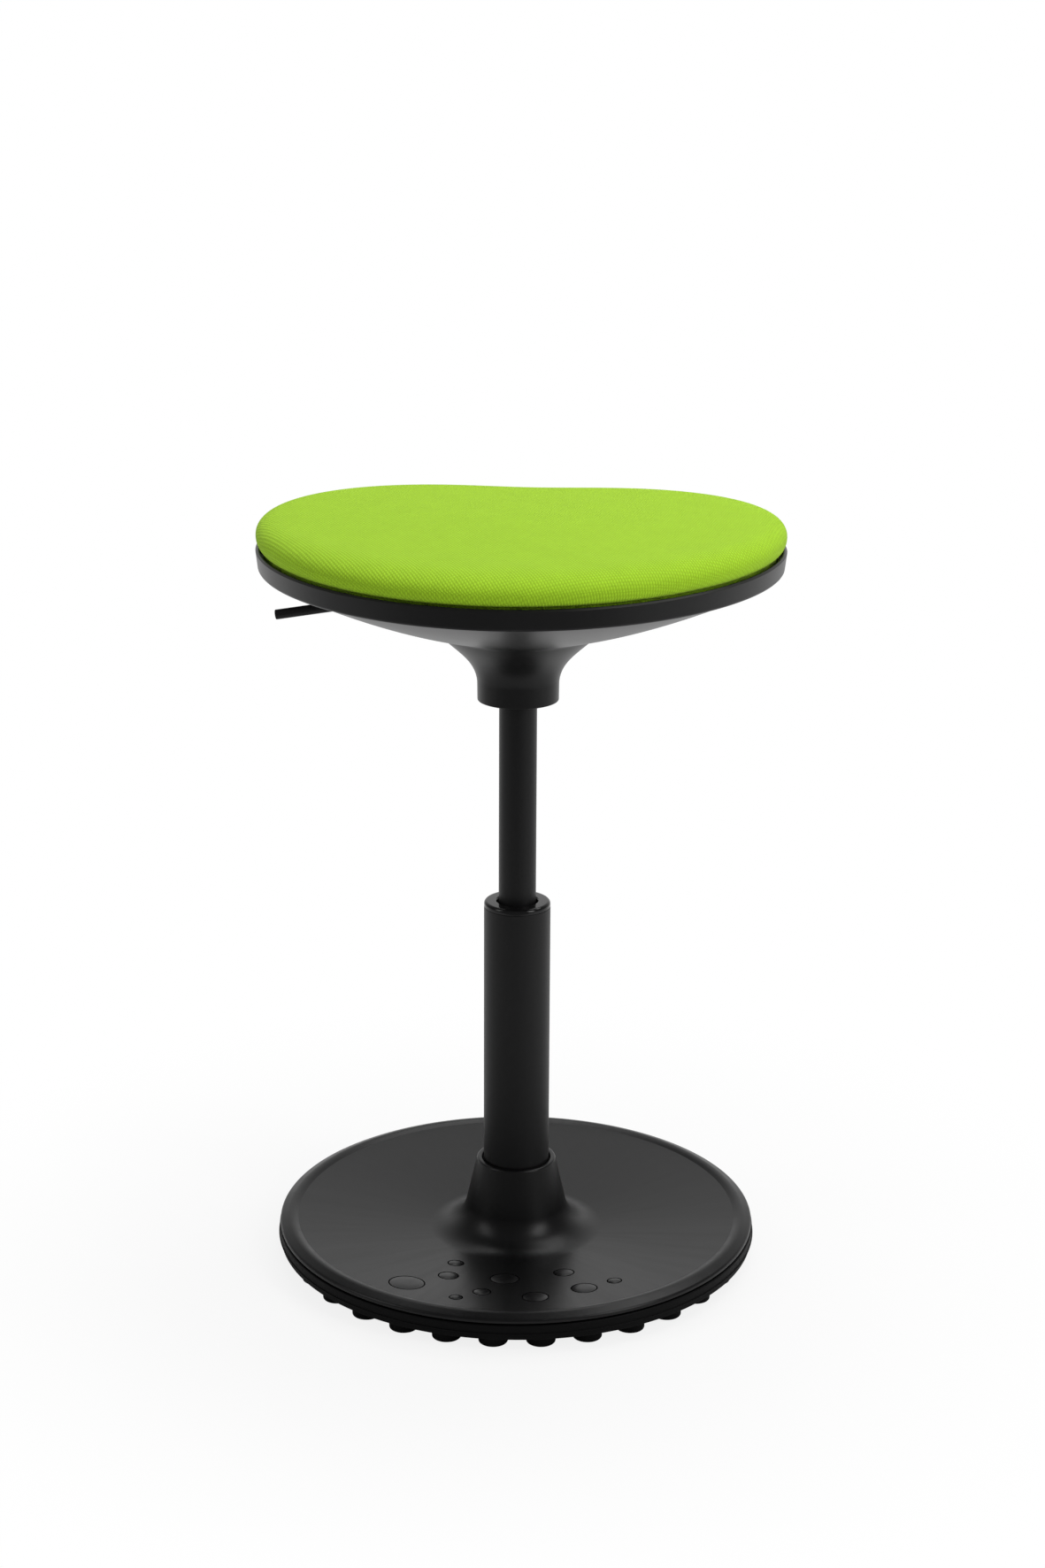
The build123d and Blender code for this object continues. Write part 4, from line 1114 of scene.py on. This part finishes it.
        hem = ring_mesh("pad_hem", hem_path, self.segments)
        layer = hem.uv_layers.new(name="weave")
        for corner in hem.loops:
            spot = hem.vertices[corner.vertex_index].co
            layer.data[corner.index].uv = (math.atan2(spot.x, -spot.y) * seat.outline[0], spot.z)
        add_piece("seat_pad_hem", hem, "seat", "green_fabric", ("seat_cover",), even=False)
        return {"FINISHED"}


class STOOL_OT_column(bpy.types.Operator):
    """Outer tube, glossy collar and sliding tube"""

    bl_idname = "stool.column"
    bl_label = "Column"
    # Roundings of the tubes' and the collar's edges
    hair_edge = 0.0002
    fine_edge = 0.0003
    cut_edge = 0.0004
    seam_edge = 0.0005
    lift_edge = 0.0006

    def execute(self, context):
        column = context.scene.stool_column
        radius = tube_high.x
        bore = radius - column.tube_wall
        slide = lift_high.x
        tube = turned_mesh("tube", [
            (radius - column.tube_taper, tube_low.z, self.cut_edge),
            (radius, column.tube_taper_top, 0),
            (radius, tube_high.z, column.tube_edge),
            (bore, tube_high.z, self.hair_edge),
            (bore, column.tube_taper_top, 0),
            (bore - column.tube_taper, tube_low.z, self.hair_edge),
        ])
        add_piece("column_tube", tube, "base", "black_steel", ("outer_tube",))
        collar = turned_mesh("collar", [
            (slide + column.slide_gap, bush_low.z, self.cut_edge),
            (bore, bush_low.z, self.cut_edge),
            (bore, tube_high.z, 0),
            (radius, tube_high.z, self.seam_edge),
            (radius, bush_high.z, column.collar_edge),
            (column.collar_mouth, bush_high.z, self.fine_edge),
            (slide + column.slide_gap, bush_high.z - column.collar_mouth_depth, 0),
        ])
        add_piece("column_collar", collar, "base", "bush_plastic", ("guide_bush",))
        lift = turned_mesh("lift", [
            (slide, lift_low.z, self.lift_edge),
            (slide, lift_high.z - column.lift_taper_length, 0),
            (slide - column.lift_taper, lift_high.z, self.fine_edge),
            (slide - column.lift_wall, lift_high.z, 0),
            (slide - column.lift_wall, lift_low.z, 0),
        ])
        add_piece("lift_tube", lift, "seat", "black_steel", ("pressure_tube",))
        return {"FINISHED"}


class STOOL_OT_foot_dish(bpy.types.Operator):
    """Dished foot with its tapered hub, rolled rim and raised dots in fine grooves"""

    bl_idname = "stool.foot_dish"
    bl_label = "Foot dish"
    segments = 320
    floor_steps = 10
    fillet_steps = 20
    # Roundings of the profile's edges
    lip_edge = 0.0012
    hub_edge = 0.0017
    floor_edge_round = 0.0008
    gap_edge = 0.0005
    sharp = 32
    # One dot of unit size: rings, sides, flatness of its top, depth of its foot and its crisp edge
    dome_steps = 7
    dome_sides = 40
    dome_power = 3.0
    dome_foot = -3.0
    dome_sharp = 60

    def sweep(self, before, corner, after, radius):
        """Corners of a large fillet in the profile."""
        arc = corner_arc(before, corner, after, radius, self.fillet_steps)
        return [(point.x, point.y, 0) for point in arc]

    def execute(self, context):
        foot = context.scene.stool_foot
        rise = math.tan(foot.floor_rise)
        draft = math.tan(foot.hub_draft)
        edge = dish_high.x
        hub_top = dish_high.z
        shoulder = hub_top - foot.hub_lip

        def floor(distance, below=0.0):
            return foot.floor_height - below + (distance - foot.floor_radius) * rise

        def hub_corner(distance, height, below=0.0):
            middle = floor(0.0, below)
            corner = (distance + (height - middle) * draft) / (1 + draft * rise)
            return corner, middle + corner * rise

        floor_edge = edge - foot.roll_width
        floor_end = (floor_edge, floor(floor_edge))
        crest = (edge - foot.crest_inset, floor_end[1] + foot.crest_rise)
        seat_radius = edge + foot.sole_overhang - foot.sole_width + foot.sole_ledge
        seat_height = floor(seat_radius, foot.wall)
        outer = hub_corner(foot.hub_outer, hub_top)
        inner = hub_corner(foot.hub_bore, shoulder, foot.wall)
        outer_sweep = self.sweep((foot.hub_outer, hub_top), outer, floor_end, foot.hub_fillet)
        inner_sweep = self.sweep(
            (seat_radius, seat_height), inner, (foot.hub_bore, shoulder), foot.hub_fillet + foot.wall
        )
        start = outer_sweep[-1][0]
        floor_points = []
        for step in range(1, self.floor_steps):
            distance = start + (floor_edge - start) * step / self.floor_steps
            floor_points.append((distance, floor(distance), 0))
        shell = turned_mesh("dish", (
            [
                (foot.hub_inner, shoulder, 0),
                (foot.hub_inner, hub_top, self.lip_edge),
                (foot.hub_outer, hub_top, self.hub_edge),
            ]
            + outer_sweep
            + floor_points
            + [
                floor_end + (self.floor_edge_round,),
                crest + (foot.crest_edge,),
                (edge, crest[1] - foot.edge_drop, foot.edge_round),
                (edge, seat_height + foot.gap_height, self.gap_edge),
                (edge - foot.gap_depth, seat_height + foot.gap_height, 0),
                (edge - foot.gap_depth, seat_height, 0),
                (seat_radius, seat_height, 0),
            ]
            + inner_sweep
            + [(foot.hub_bore, shoulder, 0)]
        ), self.segments)

        tools = []
        places = []
        leans = []
        for setback, degrees, across in DOTS:
            angle = math.radians(degrees)
            distance = edge - setback
            spot = Vector(round_point(distance, angle, floor(distance)))
            turned = Matrix.Rotation(angle, 4, "Z") @ Matrix.Rotation(-foot.floor_rise, 4, "X")
            places.append(spot)
            leans.append(turned.to_euler())
            reach = across / 2 + foot.dot_groove
            there = Matrix.Translation(spot) @ turned
            tools.append(round_cutter(reach, 2 * foot.dot_groove_depth, self.dome_sides, there))
        shell = cut_mesh(shell, joined(tools))
        add_piece("foot_dish_shell", shell, "base", "foot_plastic", ("foot_dish",), sharp=self.sharp)

        holders = bpy.data.meshes.new("dot_places")
        holders.from_pydata(places, [], [])
        sizes = holders.attributes.new("size", "FLOAT", "POINT")
        lean_values = holders.attributes.new("lean", "FLOAT_VECTOR", "POINT")
        for index, (_, _, across) in enumerate(DOTS):
            sizes.data[index].value = across / 2
            lean_values.data[index].vector = leans[index]
        path = [(0.0, 1.0)]
        for step in range(1, self.dome_steps + 1):
            share = step / self.dome_steps
            path.append((share, 1.0 - share ** self.dome_power))
        path += [(1.0, self.dome_foot), (0.0, self.dome_foot)]
        dome = plain_object("dot_dome", solid_mesh("dome", path, self.dome_sides))
        dots = grown_mesh(holders, scatter_tree(), {
            "Piece": dome, "Height": foot.dot_rise, "Material": finish_for("foot_plastic"),
        })
        drop(dome)
        add_piece("foot_dish_dots", dots, "base", "foot_plastic", ("foot_dish",), sharp=self.dome_sharp)
        return {"FINISHED"}


class STOOL_OT_sole(bpy.types.Operator):
    """Rubber ring under the dish with its moulding line and row of studs"""

    bl_idname = "stool.sole"
    bl_label = "Sole and studs"
    segments = 256
    stud_sides = 40
    stud_sharp = 50
    # How far a stud stands into the ring
    stud_root = 0.0004
    line_height = 0.0008
    line_bevel = 0.0001
    # Roundings of the ring's edges
    hair_edge = 0.0002
    line_edge = 0.0003
    inner_edge = 0.0004
    foot_edge = 0.0007
    top_edge = 0.0009

    def execute(self, context):
        foot = context.scene.stool_foot
        outer = sole_high.x
        inner = outer - foot.sole_width
        ledge = inner + foot.sole_ledge
        top = sole_high.z
        drop_in = foot.sole_ledge * math.tan(foot.floor_rise)
        line = foot.sole_line
        ring = turned_mesh("sole", [
            (inner, foot.sole_foot, self.inner_edge),
            (outer - foot.sole_step, foot.sole_foot, self.foot_edge),
            (outer - foot.sole_step, line - self.line_height, self.hair_edge),
            (outer, line - self.line_height, self.line_edge),
            (outer, line, self.line_edge),
            (outer - foot.sole_ridge, line + self.line_bevel, self.hair_edge),
            (outer - foot.sole_ridge, top, self.top_edge),
            (ledge, top, 0),
            (inner, top - drop_in, self.line_edge),
        ], self.segments)
        add_piece("sole_ring", ring, "base", "sole_rubber", ("sole",))
        root = foot.sole_foot + self.stud_root
        path = rounded_end(foot.stud_radius, foot.stud_edge) + [(foot.stud_radius, root), (0.0, root)]
        stud = plain_object("stud_one", solid_mesh("stud", path, self.stud_sides))
        studs = grown_mesh(bpy.data.meshes.new("stud_host"), round_row_tree(), {
            "Piece": stud, "Count": foot.stud_count, "Ring radius": outer - foot.stud_setback,
            "Start angle": foot.stud_start, "Material": finish_for("sole_rubber"),
        })
        drop(stud)
        add_piece("sole_studs", studs, "base", "sole_rubber", ("sole",), sharp=self.stud_sharp)
        return {"FINISHED"}


class STOOL_OT_release_lever(bpy.types.Operator):
    """Black release lever that looks out under the seat's left side"""

    bl_idname = "stool.release_lever"
    bl_label = "Release lever"
    sides = 48
    stations = 60
    flat_cut = 0.0004
    sharp = 45

    def execute(self, context):
        column = context.scene.stool_column
        slope = column.lever_slope
        pivot = (pivot_low + pivot_high) / 2
        along = Vector((math.cos(slope), 0, math.sin(slope)))
        start_x = lever_low.x + column.lever_radius * math.sin(slope)
        start = pivot + along * ((start_x - pivot.x) / along.x)
        reach = (lever_high.x - start_x) / along.x - column.lever_radius * math.tan(slope)
        edge = column.lever_edge
        path = rounded_end(column.lever_radius, edge)
        for step in range(1, self.stations + 1):
            path.append((column.lever_radius, edge + (reach - edge) * step / self.stations))
        path.append((0.0, reach))
        rod = solid_mesh("lever", path, self.sides)
        upright = Vector((0, 0, 1)).rotation_difference(along).to_matrix().to_4x4()
        placed(rod, Matrix.Translation(start) @ upright)
        underside = pivot.z - pivot.x * math.tan(slope) - column.lever_radius / math.cos(slope)
        flat = underside + self.flat_cut
        for point in rod.vertices:
            if point.co.x > -column.lever_flat:
                point.co.z = max(point.co.z, flat)
        add_piece("release_lever", rod, "lever", "black_steel", ("lever_rod",), sharp=self.sharp)
        return {"FINISHED"}


class STOOL_OT_screws(bpy.types.Operator):
    """Screws with hexagon sockets: the ring under the foot and the four under the pan"""

    bl_idname = "stool.screws"
    bl_label = "Screws"
    sides = 36
    socket_share = 0.46
    socket_depth = 0.0016
    edge = 0.0002
    tip_length = 0.0005
    tip_share = 0.6
    # Play of the countersunk heads under the foot: round the head, round the neck, below the plate's top
    head_play = 0.0001
    neck_play = 0.0003
    rim_play = 0.0002
    sharp = 35

    def screw(self, head, rim, shank, neck, tip):
        """Screw on its head: head radius, upper rim of the head, shank radius, neck and tip height."""
        flat = head * self.socket_share

        def profile(angle):
            corner = (angle + math.pi / 6) % (math.pi / 3) - math.pi / 6
            hexagon = flat / math.cos(corner)
            return [
                (0.0, self.socket_depth), (hexagon, self.socket_depth), (hexagon, self.edge),
                (hexagon + self.edge, 0.0), (head - self.edge, 0.0), (head, self.edge), rim, (shank, neck),
                (shank, tip - self.tip_length), (shank * self.tip_share, tip), (0.0, tip),
            ]

        return ring_mesh("screw", profile, self.sides, closed=False)

    def execute(self, context):
        foot = context.scene.stool_foot
        thick = plate_high.z - plate_low.z
        rim = (foot.screw_shank + self.neck_play, thick - self.rim_play)
        tip = foot_screw_high.z - foot_screw_low.z
        one = plain_object("foot_screw_one", placed(
            self.screw(foot.screw_head - self.head_play, rim, foot.screw_shank, thick, tip),
            Matrix.Translation((0, 0, foot_screw_low.z)),
        ))
        ring = foot_screw_high.x - foot.screw_head
        screws = grown_mesh(bpy.data.meshes.new("foot_screw_host"), round_row_tree(), {
            "Piece": one, "Count": foot.screw_count, "Ring radius": ring, "Start angle": 0.0,
            "Material": finish_for("zinc_steel"),
        })
        drop(one)
        add_piece("foot_screws", screws, "base", "zinc_steel", ("base_screws",), sharp=self.sharp)

        small = plain_object("pan_screw_one", self.screw(
            1.0, (1.0, foot.pan_screw_height), foot.pan_screw_shank / foot.pan_screw_head,
            foot.pan_screw_height, pan_screw_high.z - pan_screw_low.z,
        ))
        for point in small.data.vertices:
            point.co.x *= foot.pan_screw_head
            point.co.y *= foot.pan_screw_head
        places = bpy.data.meshes.new("pan_screw_places")
        spots = []
        for degrees in PAN_SCREW_ANGLES:
            spin = Matrix.Rotation(math.radians(degrees), 4, "Z")
            spots.append(spin @ Vector((PAN_SCREW_RING, 0, pan_screw_low.z)))
        places.from_pydata(spots, [], [])
        sizes = places.attributes.new("size", "FLOAT", "POINT")
        places.attributes.new("lean", "FLOAT_VECTOR", "POINT")
        for value in sizes.data:
            value.value = 1.0
        screws = grown_mesh(places, scatter_tree(), {
            "Piece": small, "Height": 1.0, "Material": finish_for("zinc_steel"),
        })
        drop(small)
        add_piece("pan_fixing_screws", screws, "seat", "zinc_steel", ("pan_screws",), sharp=self.sharp)
        return {"FINISHED"}


class STOOL_OT_inner_parts(bpy.types.Operator):
    """Finishes for the frame's own pieces: plates, bearing, lift insides, board"""

    bl_idname = "stool.inner_parts"
    bl_label = "Inner parts"

    def execute(self, context):
        slots = {row["node"]: row["material_slot"] for row in frame["record"]["subparts"]}
        for node, made in frame["nodes"].items():
            made.data.materials.clear()
            made.data.materials.append(finish_for(slots[node]))
        return {"FINISHED"}


class STOOL_OT_stage(bpy.types.Operator):
    """Pale floor, soft studio light, white surroundings and the camera"""

    bl_idname = "stool.stage"
    bl_label = "Stage"
    # The floor: half its width, front edge, gap under the studs, reach of the shadow, start of the white
    floor_half = 9.0
    floor_front = -0.75
    floor_gap = 0.0003
    shadow_near = 0.16
    shadow_far = 0.55
    sweep_start = 0.7
    floor_tone = 0.90
    white = (1.0, 1.0, 1.0, 1.0)
    # How fast the mirrored surroundings darken from the back to the sides
    back_power = 3.0
    sensor = 36.0
    # Each lamp: name, place, size across and up, power in watts
    lamps = (
        ("lamp_over", (0.45, 0.75, 2.35), (2.6, 1.6), 37.0),
        ("lamp_right", (2.0, -1.3, 1.55), (0.9, 1.6), 23.0),
        ("lamp_left", (-2.1, -0.9, 1.5), (0.8, 1.5), 9.0),
    )
    aim = (0.0, 0.0, 0.40)

    def seen_rays(self, canvas):
        """Rays that look straight at the surroundings, and rays that mirror them."""
        path = canvas.node("ShaderNodeLightPath").socket.node.outputs
        camera, glossy, through = (
            Flow(canvas, path[name]) for name in ("Is Camera Ray", "Is Glossy Ray", "Is Transmission Ray")
        )
        return camera + through, glossy

    def floor(self, stage):
        """Pale floor that keeps the shadow and looks white."""
        half = self.floor_half
        low = cad_box[0].z - self.floor_gap
        mesh = bpy.data.meshes.new("floor")
        front = self.floor_front
        corners = [(-half, front, low), (half, front, low), (half, half, low), (-half, half, low)]
        mesh.from_pydata(corners, [], [(0, 1, 2, 3)])
        material = bpy.data.materials.new("pale_floor")
        material.use_nodes = True
        canvas = Canvas(material.node_tree)
        lit = canvas.node("ShaderNodeBsdfDiffuse", inputs={"Color": shade(self.white[:3], self.floor_tone)})
        plain = canvas.node("ShaderNodeEmission", inputs={"Color": self.white, "Strength": 1.0})
        spot = canvas.node("ShaderNodeTexCoord", output="Object")
        away = canvas.node("ShaderNodeVectorMath", {"operation": "LENGTH"}, {0: spot}, output="Value")
        faded = canvas.ramp(away, self.shadow_near, self.shadow_far, 1.0 - stage.shadow_share)
        behind = canvas.ramp(canvas.axes(spot)[1], 0.0, self.sweep_start)
        straight, mirrored = self.seen_rays(canvas)
        share = (straight + mirrored * behind) * faded
        mixed = canvas.node("ShaderNodeMixShader", inputs={0: share, 1: lit, 2: plain})
        canvas.node("ShaderNodeOutputMaterial", inputs={"Surface": mixed})
        mesh.materials.append(material)
        plain_object("floor", mesh)

    def execute(self, context):
        scene = context.scene
        stage = scene.stool_stage
        self.floor(stage)
        world = bpy.data.worlds.new("studio")
        world.use_nodes = True
        canvas = Canvas(world.node_tree)
        straight, mirrored = self.seen_rays(canvas)
        towards = canvas.node("ShaderNodeTexCoord", output="Generated")
        behind = canvas.maths("MAXIMUM", canvas.axes(towards)[1], 0.0)
        bright = behind ** self.back_power * (1.0 - stage.camera_side) + stage.camera_side
        strength = (1.0 - straight - mirrored) * stage.ambient + straight + mirrored * bright
        surround = canvas.node("ShaderNodeBackground", inputs={"Color": self.white, "Strength": strength})
        canvas.node("ShaderNodeOutputWorld", inputs={"Surface": surround})
        scene.world = world
        for name, place, (across, up), watts in self.lamps:
            light = bpy.data.lights.new(name, "AREA")
            light.shape = "RECTANGLE"
            light.size = across
            light.size_y = up
            light.energy = watts
            lamp = bpy.data.objects.new(name, light)
            lamp.location = place
            lamp.rotation_euler = (Vector(self.aim) - Vector(place)).to_track_quat("-Z", "Y").to_euler()
            scene.collection.objects.link(lamp)
        camera_data = bpy.data.cameras.new("photo_camera")
        camera_data.sensor_width = self.sensor
        camera_data.lens = stage.focal_pixels / max(PHOTO_SIZE) * camera_data.sensor_width
        camera = bpy.data.objects.new("photo_camera", camera_data)
        facing = Matrix.Rotation(stage.heading, 4, "Z") @ Matrix.Rotation(math.pi / 2 - stage.pitch, 4, "X")
        camera.matrix_world = (
            Matrix.Translation(stage.camera_at) @ facing @ Matrix.Rotation(stage.roll, 4, "Z")
        )
        scene.collection.objects.link(camera)
        scene.camera = camera
        scene.view_settings.view_transform = "Standard"
        return {"FINISHED"}


OPERATORS = (
    STOOL_OT_inner_parts, STOOL_OT_seat_pan, STOOL_OT_seat_pad, STOOL_OT_column, STOOL_OT_foot_dish,
    STOOL_OT_sole, STOOL_OT_release_lever, STOOL_OT_screws, STOOL_OT_stage,
)
SETTINGS = {
    "stool_seat": StoolSeatSizes,
    "stool_column": StoolColumnSizes,
    "stool_foot": StoolFootSizes,
    "stool_colours": StoolFinishColours,
    "stool_stage": StoolStageSizes,
}


class STOOL_PT_sidebar(bpy.types.Panel):
    """Sizes, colours and pieces of the stool"""

    bl_idname = "STOOL_PT_sidebar"
    bl_label = "Swivel stool"
    bl_space_type = "VIEW_3D"
    bl_region_type = "UI"
    bl_category = "Stool"

    def draw(self, context):
        for operator in OPERATORS:
            self.layout.operator(operator.bl_idname)
        for name, group in SETTINGS.items():
            box = self.layout.box()
            box.label(text=group.__doc__)
            for key in group.__annotations__:
                box.prop(getattr(context.scene, name), key)


def register():
    """Make the settings, operators and panel known."""
    for group in SETTINGS.values():
        bpy.utils.register_class(group)
    for name, group in SETTINGS.items():
        setattr(bpy.types.Scene, name, PointerProperty(type=group))
    for operator in OPERATORS:
        bpy.utils.register_class(operator)
    bpy.utils.register_class(STOOL_PT_sidebar)


def unregister():
    """Take them away again."""
    bpy.utils.unregister_class(STOOL_PT_sidebar)
    for operator in reversed(OPERATORS):
        bpy.utils.unregister_class(operator)
    for name, group in SETTINGS.items():
        delattr(bpy.types.Scene, name)
        bpy.utils.unregister_class(group)


def main():
    """Dress the frame."""
    register()
    bpy.ops.stool.inner_parts()
    bpy.ops.stool.seat_pan()
    bpy.ops.stool.seat_pad()
    bpy.ops.stool.column()
    bpy.ops.stool.foot_dish()
    bpy.ops.stool.sole()
    bpy.ops.stool.release_lever()
    bpy.ops.stool.screws()
    bpy.ops.stool.stage()


if __name__ == "__main__":
    main()
